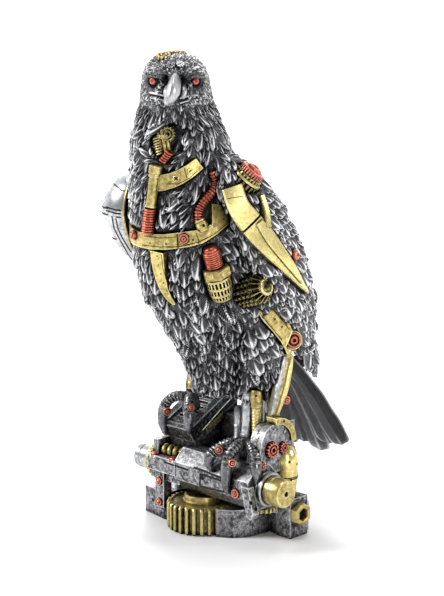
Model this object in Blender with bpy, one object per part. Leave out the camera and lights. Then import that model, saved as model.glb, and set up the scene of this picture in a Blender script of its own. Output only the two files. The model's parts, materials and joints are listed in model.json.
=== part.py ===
"""Steampunk eagle figurine: a feathered eagle with machine fittings, perched on an engine-block plinth.

Metres, +Z up. The origin is at the middle of the plinth's underside. The eagle's breast faces -Y, its left
side is +X, and its head is turned 45 degrees to its left. The engine's barrel lies along X.
"""

import math

import bpy
from mathutils import Vector
from mathutils.bvhtree import BVHTree

MM = 0.001
X_AXIS = Vector((1, 0, 0))
Y_AXIS = Vector((0, 1, 0))
Z_AXIS = Vector((0, 0, 1))

# The gap that is left between two pieces that touch.
FIT_GAP = 0.3 * MM

# Plinth: the engine block and what is bolted to it.
BASE_HEIGHT = 18 * MM
BLOCK_TOP = 50.5 * MM
BLOCK_FRONT = 2 * MM
BLOCK_BACK = 36 * MM
BARREL_RADIUS = 13.5 * MM
BARREL_HEIGHT = 37 * MM
BARREL_Y = -10.5 * MM
BARREL_LEFT = -19 * MM
BARREL_RIGHT = 46 * MM
CAP_RADIUS = 8.8 * MM
CAP_LENGTH = 12 * MM
CAP_COLLAR_RADIUS = 10.4 * MM
CAP_COLLAR_LENGTH = 5 * MM
CAP_AXIS = Vector((0, -8.5 * MM, 36 * MM))
KNOB_RADIUS = 8.2 * MM
KNOB_LENGTH = 14 * MM
KNOB_COLLAR_RADIUS = 11.5 * MM
KNOB_COLLAR_LENGTH = 3.5 * MM
KNOB_AXIS = Vector((0, -12 * MM, 36 * MM))
CRADLE_LEFT = -44 * MM
CRADLE_FRONT = -24.5 * MM
CRADLE_FLOOR = 33 * MM
RAIL_HEIGHT = 10 * MM
RAIL_DEPTH = 5 * MM
SPRING_RADIUS = 4.4 * MM
SPRING_RIDGES = 4
DRIVE_GEAR_RADIUS = 22.5 * MM
DRIVE_GEAR_HEIGHT = 17.5 * MM
DRIVE_GEAR_TEETH = 28
DRIVE_GEAR_HUB = 11.5 * MM
DRIVE_GEAR_HUB_RISE = 4.3 * MM
DRIVE_GEAR_AT = Vector((-7 * MM, -11 * MM, 0))
GRILLE_BOX_LENGTH = 52 * MM
GRILLE_BOX_WIDTH = 30 * MM
GRILLE_BOX_THICKNESS = 10 * MM
GRILLE_BOX_SLOPE = math.radians(28)
GRILLE_BOX_LOW = Vector((-42 * MM, -13 * MM, 54 * MM))
GRILLE_PLATE = 6.5 * MM
GRILLE_SLOTS = 7
GRILLE_DEPTH = 3.5 * MM
HEX_NUT_RADIUS = 7.4 * MM
HEX_NUT_LENGTH = 5 * MM
HEX_NUT_AT = Vector((51 * MM, 16 * MM, 15.5 * MM))
CASE_RADIUS = 13.4 * MM
CASE_AXIS = Vector((0, 1.5 * MM, 61.5 * MM))
CASE_LEFT = 36 * MM
CASE_RIGHT = 45.5 * MM
RIM_THICKNESS = 3.6 * MM
CANISTER_RADIUS = 8.6 * MM
CANISTER_AT = Vector((42.3 * MM, 12.8 * MM, 26 * MM))
PILLAR_RADIUS = 3.4 * MM
PILLAR_AT = Vector((14 * MM, 1 * MM, 47 * MM))
PILLAR_TOP = 81 * MM
BOLT_RADIUS = 2.7 * MM
BOLT_HEIGHT = 1.8 * MM
BOLT_SHANK = 1.2 * MM

# Eagle: its own form is given in shares of its height, as millimetres of the real figure.
EAGLE_HEIGHT = 236 * MM
EAGLE_SHARES = 236.0
PERCH_HEIGHT = 66 * MM
HEAD_TURN = math.radians(45)
CARVING_VOXEL = 0.8 * MM
FLAT_WITHIN = 0.4
CARVED_TRIANGLES = 3300
FEATHER_CLEARANCE = 1.0 * MM
FEATHER_RISE = 2.6 * MM
WING_FEATHER_WIDTH = 11 * MM

# Fittings on the eagle.
STRAP_WIDTH = 9 * MM
UPPER_STRAP_WIDTH = 9.5 * MM
STRAP_THICKNESS = 4 * MM
HOSE_RADIUS = 2.5 * MM
POST_RADIUS = 3.1 * MM
POST_COIL_RADIUS = 3.7 * MM
KEEL_WIDTH = 9.6 * MM
VALVE_COIL_RADIUS = 5.4 * MM
VALVE_NUT_RADIUS = 9.0 * MM
VALVE_CAGE_RADIUS = 7.8 * MM
SHOULDER_GEAR_RADIUS = 9.7 * MM
SHOULDER_GEAR_TEETH = 15
BEVEL_RADIUS = 10 * MM
BEVEL_TEETH = 12
PINION_RADIUS = 9 * MM
PINION_TEETH = 12
KNEE_WHEEL_RADIUS = 6.4 * MM
KNEE_WHEEL_THICKNESS = 6 * MM
BLADE_THICKNESS = 4 * MM
THIGH_PLATE_THICKNESS = 4 * MM
SHIN_THICKNESS = 4 * MM
LEG_PIPE_RADIUS = 3.0 * MM
LEG_TUBE_RADIUS = 3.6 * MM
EYE_RADIUS = 2.2 * MM
ARMOUR_THICKNESS = 3.0 * MM

# Finish of each kind of piece: colour, metallic, roughness.
FINISHES = {
    "silver_feathers": ((0.16, 0.16, 0.17, 1), 0.7, 0.45),
    "polished_silver": ((0.62, 0.63, 0.64, 1), 0.9, 0.22),
    "dark_iron": ((0.05, 0.05, 0.055, 1), 0.7, 0.5),
    "brass": ((0.62, 0.5, 0.2, 1), 0.9, 0.35),
    "copper": ((0.72, 0.25, 0.14, 1), 0.85, 0.35),
}


def clear_scene():
    for old in list(bpy.data.objects):
        bpy.data.objects.remove(old, do_unlink=True)


def finish(name):
    """The material of one finish, made once."""
    made = bpy.data.materials.get(name)
    if made is None:
        colour, metallic, roughness = FINISHES[name]
        made = bpy.data.materials.new(name)
        made.use_nodes = True
        shader = made.node_tree.nodes["Principled BSDF"]
        shader.inputs["Base Color"].default_value = colour
        shader.inputs["Metallic"].default_value = metallic
        shader.inputs["Roughness"].default_value = roughness
        made.diffuse_color = colour
    return made


# Shapes: each is a pair, the points and the faces of one closed body.


def loft(rings):
    """A closed body through rings that have the same number of points, with flat ends."""
    count = len(rings[0])
    points = [Vector(p) for ring in rings for p in ring]
    faces = [tuple(reversed(range(count)))]
    for k in range(len(rings) - 1):
        low, high = k * count, (k + 1) * count
        for i in range(count):
            j = (i + 1) % count
            faces += [(low + i, low + j, high + j), (low + i, high + j, high + i)]
    last = (len(rings) - 1) * count
    faces.append(tuple(range(last, last + count)))
    return points, faces


def across(axis, hint=None):
    """Two unit vectors across an axis. The second lies as near to the hint as it can."""
    axis = axis.normalized()
    if hint is None:
        hint = Z_AXIS if abs(axis.z) < 0.9 else Y_AXIS
    second = (hint - axis * hint.dot(axis)).normalized()
    return second.cross(axis).normalized(), second


def turned(centre, axis, profile, sides=16, hint=None):
    """A turned body: the profile is (radius, height along the axis) from one end to the other."""
    u, v = across(axis, hint)
    axis = axis.normalized()
    rings = []
    for radius, height in profile:
        ring = []
        for i in range(sides):
            angle = 2 * math.pi * (i + 0.5) / sides
            ring.append(centre + axis * height + (u * math.cos(angle) + v * math.sin(angle)) * radius)
        rings.append(ring)
    return loft(rings)


def rod(start, end, radius, sides=10):
    axis = end - start
    return turned(start, axis, [(radius, 0), (radius, axis.length)], sides)


def drum(centre, axis, radius, length, sides=12):
    """A plain socket round a wheel: its flats, not its corners, lie at the radius."""
    reach = radius / math.cos(math.pi / sides)
    return turned(centre, axis, [(reach, 0), (reach, length)], sides)


def sweep(points, halves, sides=8, outward=None, flat=False):
    """A body along a line of points. Halves holds (half thickness, half width) or one radius for each point,
    and outward the direction in which the thickness lies there."""
    rings = []
    side = None
    for i, point in enumerate(points):
        ahead = points[min(i + 1, len(points) - 1)] - points[max(i - 1, 0)]
        ahead.normalize()
        if outward is not None:
            _, normal = across(ahead, outward[i])
        elif side is None:
            _, normal = across(ahead)
        else:
            _, normal = across(ahead, side)
        side = normal
        wide = ahead.cross(normal).normalized()
        thick_half, wide_half = halves[i] if isinstance(halves[i], tuple) else (halves[i], halves[i])
        if flat:
            corners = [(-1, -1), (-1, 1), (1, 1), (1, -1)]
        else:
            corners = [
                (math.cos(2 * math.pi * k / sides), math.sin(2 * math.pi * k / sides)) for k in range(sides)
            ]
        rings.append([point + normal * (a * thick_half) + wide * (b * wide_half) for a, b in corners])
    made = loft(rings)
    return made if volume(made) > 0 else inside_out(made)


def volume(shape):
    """Six times the volume, negative where the faces point inwards."""
    points, faces = shape
    total = 0.0
    for face in faces:
        for k in range(1, len(face) - 1):
            total += points[face[0]].dot(points[face[k]].cross(points[face[k + 1]]))
    return total


def inside_out(shape):
    points, faces = shape
    return points, [tuple(reversed(face)) for face in faces]


SQUARE_TOOTH = ((0.0, 0.0), (0.32, 1.0), (0.68, 1.0))
POINTED_TOOTH = ((0.0, 0.0), (0.5, 1.0))


def gear(centre, axis, radius, teeth, thickness, tooth=0.16, form=POINTED_TOOTH):
    """A spur gear from centre along the axis. Tooth is the tooth's height as a share of the radius."""
    u, v = across(axis)
    outline = []
    for k in range(teeth):
        for share, rise in form:
            reach = 1 - tooth * (1 - rise)
            angle = 2 * math.pi * (k + share) / teeth
            outline.append(centre + (u * math.cos(angle) + v * math.sin(angle)) * (radius * reach))
    return prism(outline, axis.normalized() * thickness)


def box(corner, along, wide, up):
    """A box from a corner and its three edges."""
    rings = [[corner + up * h + e for e in (Vector(), along, along + wide, wide)] for h in (0, 1)]
    made = loft(rings)
    return made if volume(made) > 0 else inside_out(made)


def prism(outline, depth):
    """A flat outline of points, thickened by the vector depth."""
    made = loft([outline, [p + depth for p in outline]])
    return made if volume(made) > 0 else inside_out(made)


def bolt(point, way, radius, height, sides=8):
    """A round bolt head with a sunk middle. Its shank goes into the face that it sits on."""
    return turned(point, way, [(radius, -BOLT_SHANK), (radius * 0.9, height),
                               (radius * 0.4, height * 0.5)], sides)


def bolt_row(name, point, way, radius=BOLT_RADIUS, height=BOLT_HEIGHT):
    """The row of a copper bolt, with a plain six-sided socket."""
    socket = drum(point - way.normalized() * BOLT_SHANK, way, radius, BOLT_SHANK + height, 6)
    return name, "copper", [bolt(point, way, radius, height)], [socket]


def grown(shape, gap=FIT_GAP):
    """The same shape with every face moved outwards by the gap."""
    points, faces = shape
    normals = [[] for _ in points]
    for face in faces:
        total = Vector()
        for k in range(len(face)):
            a, b = points[face[k]], points[face[(k + 1) % len(face)]]
            total += a.cross(b)
        if total.length < 1e-14:
            continue
        total.normalize()
        for i in face:
            if all(total.dot(other) < 0.985 for other in normals[i]):
                normals[i].append(total)
    moved = []
    for point, around in zip(points, normals):
        step = Vector()
        for _ in range(30):
            for normal in around:
                short = gap - step.dot(normal)
                if short > 0:
                    step += normal * (short * 0.6)
        if step.length > 4 * gap:
            step = step.normalized() * (4 * gap)
        moved.append(point + step)
    return moved, faces


def ridged(start, end, low, high, ridges, sides=12, ends=0.0):
    """A round body with a row of ridges, such as a wound coil."""
    length = (end - start).length
    pitch = (length - 2 * ends) / ridges
    profile = [(low, 0.0)]
    for k in range(ridges):
        profile.append((high, ends + pitch * (k + 0.4)))
        profile.append((low, ends + pitch * (k + 0.95)))
    profile[-1] = (low, length)
    return turned(start, end - start, profile, sides)


def curve_points(through, count):
    """Points at even steps of parameter along a smooth curve through the given points."""
    made = []
    spans = len(through) - 1
    for n in range(count):
        t = n / (count - 1) * spans
        k = min(int(t), spans - 1)
        f = t - k
        p0 = through[max(k - 1, 0)]
        p1, p2 = through[k], through[k + 1]
        p3 = through[min(k + 2, spans)]
        made.append(
            0.5 * (2 * p1 + (p2 - p0) * f + (2 * p0 - 5 * p1 + 4 * p2 - p3) * f**2
                   + (3 * p1 - p0 - 3 * p2 + p3) * f**3)
        )
    return made


# Objects from shapes.


def mesh_object(name, shapes):
    """One object that holds all the shapes as they are."""
    points, faces = [], []
    for shape_points, shape_faces in shapes:
        start = len(points)
        points.extend(tuple(p) for p in shape_points)
        faces.extend(tuple(start + i for i in face) for face in shape_faces)
    mesh = bpy.data.meshes.new(name)
    mesh.from_pydata(points, [], faces)
    mesh.update()
    made = bpy.data.objects.new(name, mesh)
    bpy.context.scene.collection.objects.link(made)
    return made


def freeze(made):
    """Replaces an object's mesh with what its modifiers make of it."""
    bpy.context.view_layer.update()
    graph = bpy.context.evaluated_depsgraph_get()
    mesh = bpy.data.meshes.new_from_object(made.evaluated_get(graph))
    made.modifiers.clear()
    made.data = mesh
    return made


def combine(made, shapes, operation, folds=False):
    """Joins shapes to an object, or cuts them out of it, all at once. Folds says that its mesh may cross itself."""
    if not shapes:
        return made
    others = bpy.data.collections.new("others")
    bpy.context.scene.collection.children.link(others)
    for k, shape in enumerate(shapes):
        other = mesh_object(f"other_{k}", [shape])
        bpy.context.scene.collection.objects.unlink(other)
        others.objects.link(other)
    change = made.modifiers.new("combine", "BOOLEAN")
    change.operation = operation
    change.solver = "EXACT"
    change.use_self = folds
    change.operand_type = "COLLECTION"
    change.collection = others
    freeze(made)
    for other in list(others.objects):
        bpy.data.objects.remove(other, do_unlink=True)
    bpy.data.collections.remove(others)
    return made


def keep_largest(made):
    """Drops loose chips that a cut has left."""
    mesh = made.data
    root = list(range(len(mesh.polygons)))

    def find(i):
        while root[i] != i:
            root[i] = root[root[i]]
            i = root[i]
        return i

    beside = {}
    for face in mesh.polygons:
        for key in face.edge_keys:
            beside.setdefault(key, []).append(face.index)
    for pair in beside.values():
        if len(pair) == 2:
            root[find(pair[0])] = find(pair[1])
    sizes = {}
    for i in range(len(root)):
        sizes[find(i)] = sizes.get(find(i), 0) + 1
    if len(sizes) == 1:
        return made
    best = max(sizes, key=sizes.get)
    kept = [face for face in mesh.polygons if find(face.index) == best]
    used = sorted({i for face in kept for i in face.vertices})
    number = {old: new for new, old in enumerate(used)}
    points = [tuple(mesh.vertices[i].co) for i in used]
    faces = [tuple(number[i] for i in face.vertices) for face in kept]
    smaller = bpy.data.meshes.new(mesh.name)
    smaller.from_pydata(points, [], faces)
    made.data = smaller
    return made


def dress(made, finish_name, smooth_angle):
    made.data.materials.clear()
    made.data.materials.append(finish(finish_name))
    made.data.shade_smooth()
    made.data.set_sharp_from_angle(angle=math.radians(smooth_angle))


# The eagle's form, in shares of its height.

SHARE = EAGLE_HEIGHT / EAGLE_SHARES


def at(x, y, z):
    """A point of the eagle, from where it lies on a figure of the stated height that perches 66 above the floor."""
    return Vector((x * SHARE, y * SHARE, PERCH_HEIGHT + (z - 66) * SHARE))


# Height, middle (front to back), half width and half depth of the trunk and neck, from the vent to the crown.
TRUNK = (
    (88, 0, 12, 12), (96, 0, 19, 18), (104, -1, 22, 21), (112, -2, 23.5, 22.5), (120, -3, 26.5, 26), (130,
                                                                                                      -5, 30, 30),
    (140, -7.5, 33.5, 35), (150, -9.5, 36, 38), (160, -12, 38, 41), (174, -15.5, 38.5, 41.5), (187, -20,
                                                                                               37.5, 40.5),
    (197, -24, 36, 39), (207, -28, 33, 35), (218, -31, 31, 31), (228, -33, 29.5, 29.5), (236, -33.5, 28.5,
                                                                                         29),
    (244, -34, 27.5, 28), (253, -36.3, 25.5, 26.5), (262, -37.6, 23.7, 24.5), (272, -38, 21, 22),
    (281, -38.6, 20, 21), (291, -39, 17.6, 18.4), (297, -39.6, 11.5, 12.5), (300, -40.3, 5, 5),
)
TRUNK_SIDES = 24


def trunk_at(height):
    """(middle, half width, half depth) of the trunk at a height."""
    for low, high in zip(TRUNK, TRUNK[1:]):
        if height <= high[0]:
            f = max(0.0, (height - low[0]) / (high[0] - low[0]))
            return tuple(low[k] + (high[k] - low[k]) * f for k in (1, 2, 3))
    return TRUNK[-1][1:]


def trunk_point(heading, height, proud=0.0):
    """A point on the trunk. Heading is in degrees from the breast's middle, positive to the eagle's left."""
    middle, wide, deep = trunk_at(height)
    turn = math.radians(heading)
    return at((wide + proud) * math.sin(turn), middle - (deep + proud) * math.cos(turn), height)


def trunk_way(heading):
    turn = math.radians(heading)
    return Vector((math.sin(turn), -math.cos(turn), 0))


def trunk_shape():
    return loft([[trunk_point(-360 * i / TRUNK_SIDES,
                              ring[0]) for i in range(TRUNK_SIDES)][::-1] for ring in TRUNK])


def head_point(right, ahead, height):
    """A point of the head: to its left as seen from in front, ahead of its middle, and the height."""
    face = Vector((math.sin(HEAD_TURN), -math.cos(HEAD_TURN), 0))
    side = Vector((math.cos(HEAD_TURN), math.sin(HEAD_TURN), 0))
    return at(0, -38.8, height) + (side * right + face * ahead) * SHARE


def head_shapes():
    """Skull, brows, cheeks and the hooked beak."""
    skull = []
    for height, wide, deep, ahead in ((260, 15, 18, 2), (266, 20, 23, 3), (274, 21, 25.5, 3),
                                      (282, 20.2, 25, 2),
                                      (290, 17.9, 22.5, 1), (296, 13, 17, 0), (299.7, 6, 8, -1)):
        skull.append([head_point(wide * math.cos(a), ahead + deep * math.sin(a), height)
                      for a in (2 * math.pi * k / 20 for k in range(20))])
    shapes = [loft(skull)]
    if volume(shapes[0]) < 0:
        shapes[0] = inside_out(shapes[0])
    for side in (-1, 1):
        brow = [head_point(side * r, f, h) for r, f, h in ((3.5, 27.5, 284.6), (9, 26.4, 287.2),
                                                           (14.5, 21.8, 288.6), (18, 14, 287.4))]
        shapes.append(sweep(curve_points(brow, 7), [s * SHARE for s in (1.2, 2.6, 3.2, 3.4, 3.2, 2.4,
                                                                        1.0)], 8))
        cheek = [head_point(side * r, f, h) for r, f, h in ((5, 26, 272.5), (10, 23.5, 271.5),
                                                            (15, 18, 272.5))]
        shapes.append(sweep(curve_points(cheek, 5), [s * SHARE for s in (1.4, 1.8, 2.0, 1.8, 1.0)], 8))
    return shapes


def beak_shape():
    """The hooked beak: sections down its bent middle line, deepest at the root."""
    line = ((19, 281.5), (27, 283), (34, 281), (38.5, 275.5), (38.5, 267.5))
    middle = curve_points([head_point(0, ahead, height) for ahead, height in line], 9)
    halves = [(deep * SHARE, wide * SHARE) for deep, wide in ((7.5, 6.4), (7.4, 6.2), (6.8, 5.6),
                                                              (6.0, 5.2), (5.2, 4.8),
                                                             (4.5, 4.3), (3.6, 3.6), (2.5, 2.6), (1.0,
                                                                                                  1.0))]
    face = head_point(0, 1, 0) - head_point(0, 0, 0)
    ways = [Z_AXIS] * 3 + [Z_AXIS * SHARE + face] * 2 + [face] * 4
    return sweep(middle, halves, 10, outward=ways)


# One wing's length: middle of the section, half thickness and half chord, shoulder to tip, for the left wing.
WING = (
    ((30, -30, 237), 5, 8), ((36, -27, 231), 9, 13), ((39.5, -21, 218), 11, 18.5), ((42, -11, 202), 11,
                                                                                    23.5),
    ((42.5, 1.5, 184), 10, 26), ((41, 14.5, 166), 9, 25.5), ((37, 28, 147), 8, 23), ((31, 41, 128), 6.5,
                                                                                     18),
    ((24, 52, 112), 5, 12), ((19, 60, 100), 3, 6),
)


def wing_out(side):
    """The way in which a folded wing's outer face looks."""
    return Vector((side * 0.93, 0.36, 0.08)).normalized()


def wing_shape(side):
    points = [at(side * p[0], p[1], p[2]) for p, _, _ in WING]
    halves = [(thick * SHARE, chord * SHARE) for _, thick, chord in WING]
    return sweep(points, halves, 14, outward=[wing_out(side)] * len(points))


def flank_shape(side):
    """The feathered flank that closes the crease between the trunk and a wing."""
    line = curve_points([at(side * 27, -17, 222), at(side * 33, -11, 195), at(side * 33, -3, 165),
                         at(side * 27, 4, 130)], 7)
    return sweep(line, [r * SHARE for r in (8, 14, 16, 16, 16, 15, 10)], 12)


def thigh_shapes(side):
    """The feathered thigh, from the hip down to where the metal shin starts."""
    foot = foot_of(side)
    inset = 0 if side > 0 else 4.5
    hip = at(side * (25 - inset), 4, 132)
    knee = at(side * (27 - inset), 8, 106)
    hock = foot["ankle"] + Vector((0, 5, 26)) * SHARE
    line = curve_points([hip, knee, hock], 6)
    return [sweep(line, [s * SHARE for s in (19, 18, 16.5, 14.5, 11.5, 5.5)], 12)]


# Feet: where each ankle stands, and its toes as (heading, reach, drop, curl).
LEFT_ANKLE = at(27, -4, 62)
RIGHT_ANKLE = at(-23, -5, 83)
LEFT_TOES = ((-32, 25, 16, 2), (8, 23, 27, 1), (56, 23, 22, 1), (178, 16, 9, 1))
RIGHT_TOES = ((-46, 18.5, 25, 2), (42, 20, 19, 2), (-6, 18, 22, 1), (172, 15, 8, 1))


def foot_of(side):
    """The ankle's place for the left (+1) or right (-1) foot."""
    return {"ankle": LEFT_ANKLE.copy() if side > 0 else RIGHT_ANKLE.copy()}


def box_axes():
    """The grille box's length, width and thickness as unit vectors."""
    along = Vector((0, math.cos(GRILLE_BOX_SLOPE), math.sin(GRILLE_BOX_SLOPE)))
    up = Vector((0, -math.sin(GRILLE_BOX_SLOPE), math.cos(GRILLE_BOX_SLOPE)))
    return along, X_AXIS, up


def toe(ankle, heading, reach, drop, curl):
    """One toe with its claw: out from the ankle, over a knuckle, and down in front of the perch."""
    way = Vector((math.sin(math.radians(heading)), -math.cos(math.radians(heading)), 0))
    line = [ankle, ankle + way * (reach * 0.45) + Z_AXIS * (1.5 * SHARE),
            ankle + way * (reach * 0.85) - Z_AXIS * (3 * SHARE),
            ankle + way * reach - Z_AXIS * (drop * 0.55), ankle + way * (reach - curl) - Z_AXIS * drop]
    return sweep(curve_points(line, 8), [s * SHARE for s in (4.2, 4.1, 4.2, 4.0, 4.0, 3.3, 2.3, 0.7)], 6)


def foot_shapes(side):
    foot = foot_of(side)
    ankle = foot["ankle"]
    toes = LEFT_TOES if side > 0 else RIGHT_TOES
    shapes = [toe(ankle - Z_AXIS * (3 * SHARE), heading, reach * SHARE, drop * SHARE, curl * SHARE)
              for heading, reach, drop, curl in toes]
    shapes.append(turned(ankle - Z_AXIS * (11 * SHARE), Z_AXIS,
                         [(6 * SHARE, 0), (6.5 * SHARE, 8 * SHARE), (4.6 * SHARE, 13 * SHARE)], 12))
    return shapes


def leg_shapes(side):
    """The silver tubes that carry the eagle, from inside the thigh to the ankle."""
    ankle = foot_of(side)["ankle"]
    tops = at(side * 25, -1, 106), at(side * 28, 7, 106)
    feet = ankle + Vector((-1.5, 0, -2)) * SHARE, ankle + Vector((1.5, 6, -3)) * SHARE
    return [rod(foot, top, LEG_TUBE_RADIUS, 10) for foot, top in zip(feet, tops)]


# Tail: a fan of long feathers.
TAIL_FEATHERS = 9
TAIL_LENGTH = 102
TAIL_SPREAD = 22


def tail_line(k):
    """Root, middle and tip of tail feather k, with its outward way."""
    share = (k - (TAIL_FEATHERS - 1) / 2) / ((TAIL_FEATHERS - 1) / 2)
    spread = math.radians(TAIL_SPREAD) * share
    length = TAIL_LENGTH * (1 - 0.14 * share * share)
    root = Vector((9 * share, 33, 125 - 3 * share * share))
    down = math.radians(62)
    way = Vector((math.sin(spread), math.cos(spread) * math.cos(down), -math.cos(spread) * math.sin(down)))
    tip = root + way * length
    bend = root + way * (length * 0.5) + Vector((0, 3, 2))
    return at(*root), at(*bend), at(*tip)


def tail_shapes():
    out = Vector((0, math.sin(math.radians(62)), math.cos(math.radians(62))))
    shapes = []
    for k in range(TAIL_FEATHERS):
        line = curve_points(list(tail_line(k)), 4)
        lift = abs(k - (TAIL_FEATHERS - 1) / 2) * 0.5 * SHARE
        line = [p - out * lift for p in line]
        halves = [(t * SHARE, w * SHARE) for t, w in ((3.2, 6), (2.6, 7.2), (2.2, 8.6), (1.3, 6.6))]
        shapes.append(sweep(line, halves, 4, outward=[out] * 4))
    return shapes


# Carved feathers, laid in rows on the smoothed form.


def feather(root, way, out, length, width, thick, blunt=0.0):
    """One carved feather: a long facet on each side of a ridge, its root sunk and its tip standing proud. A blunt
    one has two corners at its tip, that share of its width apart."""
    side = way.cross(out).normalized()

    def spot(along, aside, rise):
        return root + way * (length * along) + side * (width * aside) + out * (thick * rise)

    tips = [spot(1.0, 0.0, 0.75)] if not blunt else [spot(0.92, -blunt / 2, 0.6),
                                                     spot(0.92, blunt / 2, 0.6)]
    rim = [spot(0.0, 0.0, -0.6), spot(0.5, -0.5, 0.25), *tips, spot(0.5, 0.5, 0.25)]
    points = [*rim, spot(0.62, 0.0, 1.0), spot(0.55, 0.0, -1.4)]
    top, under = len(rim), len(rim) + 1
    faces = []
    for i in range(len(rim)):
        j = (i + 1) % len(rim)
        faces += [(i, j, top), (j, i, under)]
    made = (points, faces)
    return made if volume(made) > 0 else inside_out(made)


def feathers_on(surface, fittings, starts, down, length, width, thick, blunt, reach=None):
    """Feathers where rays from outside meet the surface, left out where they would lie over a fitting."""
    shapes = []
    for origin, aim in starts:
        hit, normal, _, _ = surface.ray_cast(origin, aim)
        if hit is None or (reach is not None and reach(hit)):
            continue
        way = down - normal * down.dot(normal)
        if way.length < 0.1:
            continue
        way.normalize()
        aside = way.cross(normal) * (width * 0.4)
        spots = [hit + way * (length * share) for share in (0.15, 0.6, 1.0)]
        spots += [hit + way * (length * 0.5) + aside, hit + way * (length * 0.5) - aside]
        if any(fittings.find_nearest(spot, FEATHER_CLEARANCE)[0] is not None for spot in spots):
            continue
        shapes.append(feather(hit, way, normal, length, width, thick, blunt))
    return shapes


def beyond_trunk(hit):
    """Whether a point lies on a wing or shoulder rather than on the trunk or the back."""
    middle, wide, deep = trunk_at((hit.z - PERCH_HEIGHT) / SHARE + 66)
    across_trunk = Vector((hit.x / (wide * SHARE), (hit.y - middle * SHARE) / (deep * SHARE)))
    return across_trunk.length > (1.14 if hit.y < 0 else 2.0) or (hit.y > 0 and abs(hit.x) > 26 * SHARE)


def body_rows():
    """(starts, way, length, width, bluntness) for the rows round the trunk and neck."""
    rows = []
    height, odd = 104.0, 0
    while height < 268:
        middle, wide, deep = trunk_at(height)
        length, width, blunt = (21, 12.5, 0.0) if height > 200 else (19, 14.5, 0.3)
        if height > 245:
            length, width = 16, 11
        around = math.pi * (wide + deep)
        count = int(around / (width * 0.92))
        starts = []
        for k in range(count):
            turn = 2 * math.pi * (k + 0.5 * (odd % 2)) / count
            out = Vector((math.sin(turn), -math.cos(turn), 0))
            starts.append((at(0, middle, height) + out * 0.12, -out))
        rows.append((starts, Vector((0, 0, -1)), length, width, blunt,
                     beyond_trunk if height < 225 else None))
        height += length * 0.62
        odd += 1
    return rows


def wing_rows(side):
    """Rows of coverts across the outer face of a wing."""
    rows = []
    out = wing_out(side)
    line = curve_points([at(side * p[0], p[1], p[2]) for p, _, _ in WING], 40)
    for row in range(7):
        k = 5 + round(row * 3.6)
        ahead = (line[k + 1] - line[k - 1]).normalized()
        across_wing = ahead.cross(out).normalized()
        spans = len(WING) - 1
        chord = WING[min(round(k / 39 * spans), spans)][2] * SHARE
        count = max(2, int(2 * chord / WING_FEATHER_WIDTH))
        starts = []
        for n in range(count):
            offset = (n + 0.5 - count / 2 + 0.25 * (row % 2)) * WING_FEATHER_WIDTH
            starts.append((line[k] + across_wing * offset + out * 0.06, -out))
        rows.append((starts, ahead, 17, 12.5, 0.42, None))
    return rows


def primaries(side):
    """The long flight feathers that close the folded wing."""
    out = wing_out(side)
    shapes = []
    for k in range(6):
        root = at(side * (43 - 2.0 * k), 6 + 7 * k, 176 - 9 * k)
        tip = at(side * (26 - 2.2 * k), 44 + 5.5 * k, 124 - 7.5 * k)
        bend = (root + tip) / 2 + out * (3.0 * SHARE)
        line = curve_points([root, bend, tip], 4)
        halves = [(t * SHARE, w * SHARE) for t, w in ((2.2, 3.5), (2.8, 5.4), (2.4, 5.6), (1.0, 2.8))]
        shapes.append(sweep(line, halves, 4, outward=[out] * 4))
    return shapes


def remeshed(made, voxel):
    change = made.modifiers.new("remesh", "REMESH")
    change.mode = "VOXEL"
    change.voxel_size = voxel
    return freeze(made)


def smoothed(made, factor, times):
    change = made.modifiers.new("smooth", "SMOOTH")
    change.factor = factor
    change.iterations = times
    return freeze(made)


def thinned(made, triangles):
    """The mesh brought down to about this many triangles, which keeps its sharper forms."""
    count = sum(len(p.vertices) - 2 for p in made.data.polygons)
    change = made.modifiers.new("thin", "DECIMATE")
    change.decimate_type = "COLLAPSE"
    change.ratio = min(1.0, triangles / count)
    change.use_collapse_triangulate = True
    return freeze(made)


def flattened(made):
    """Joins neighbouring faces that lie in one plane, then cuts all faces into triangles."""
    change = made.modifiers.new("flat", "DECIMATE")
    change.decimate_type = "DISSOLVE"
    change.angle_limit = math.radians(FLAT_WITHIN)
    made.modifiers.new("triangles", "TRIANGULATE")
    return freeze(made)


def eagle_form():
    """The smooth form under the feathers."""
    shapes = [trunk_shape(), *head_shapes()]
    for side in (1, -1):
        shapes.append(wing_shape(side))
        shapes.append(flank_shape(side))
        shapes.extend(thigh_shapes(side))
    rump = sweep(curve_points([at(0, 8, 150), at(0, 26, 130), at(0, 44, 100)], 6),
                 [(s * SHARE, w * SHARE) for s, w in ((24, 30), (22, 28), (17, 24), (12, 19), (8, 15),
                                                      (4, 10))], 14,
                 outward=[Y_AXIS] * 6)
    mantle = sweep(curve_points([at(0, -14, 226), at(0, 10, 196), at(0, 24, 168), at(0, 38, 134)], 7),
                   [(s * SHARE, w * SHARE) for s, w in ((8, 20), (12, 29), (13, 33), (13, 33), (12, 31),
                                                        (10, 28),
                                                        (6, 22))], 14, outward=[Y_AXIS] * 7)
    shapes.extend([rump, mantle, armour_bulge()])
    form = mesh_object("eagle", shapes)
    remeshed(form, CARVING_VOXEL * 1.5)
    return smoothed(form, 0.5, 8)


def thigh_rows(side):
    """Rows of feathers round a thigh."""
    rows = []
    ankle = foot_of(side)["ankle"]
    for n, height in enumerate((136, 124, 112, 101)):
        starts = []
        middle = at(26.5 if side > 0 else -22, 6, height)
        middle.z = max(middle.z, ankle.z + 18 * SHARE)
        for k in range(8):
            turn = 2 * math.pi * (k + 0.5 * (n % 2)) / 8
            out = Vector((math.cos(turn), math.sin(turn), 0))
            starts.append((middle + out * 0.12, -out))
        rows.append((starts, Vector((0, 0, -1)), 16, 12.5, 0.25, None))
    return rows


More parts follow.
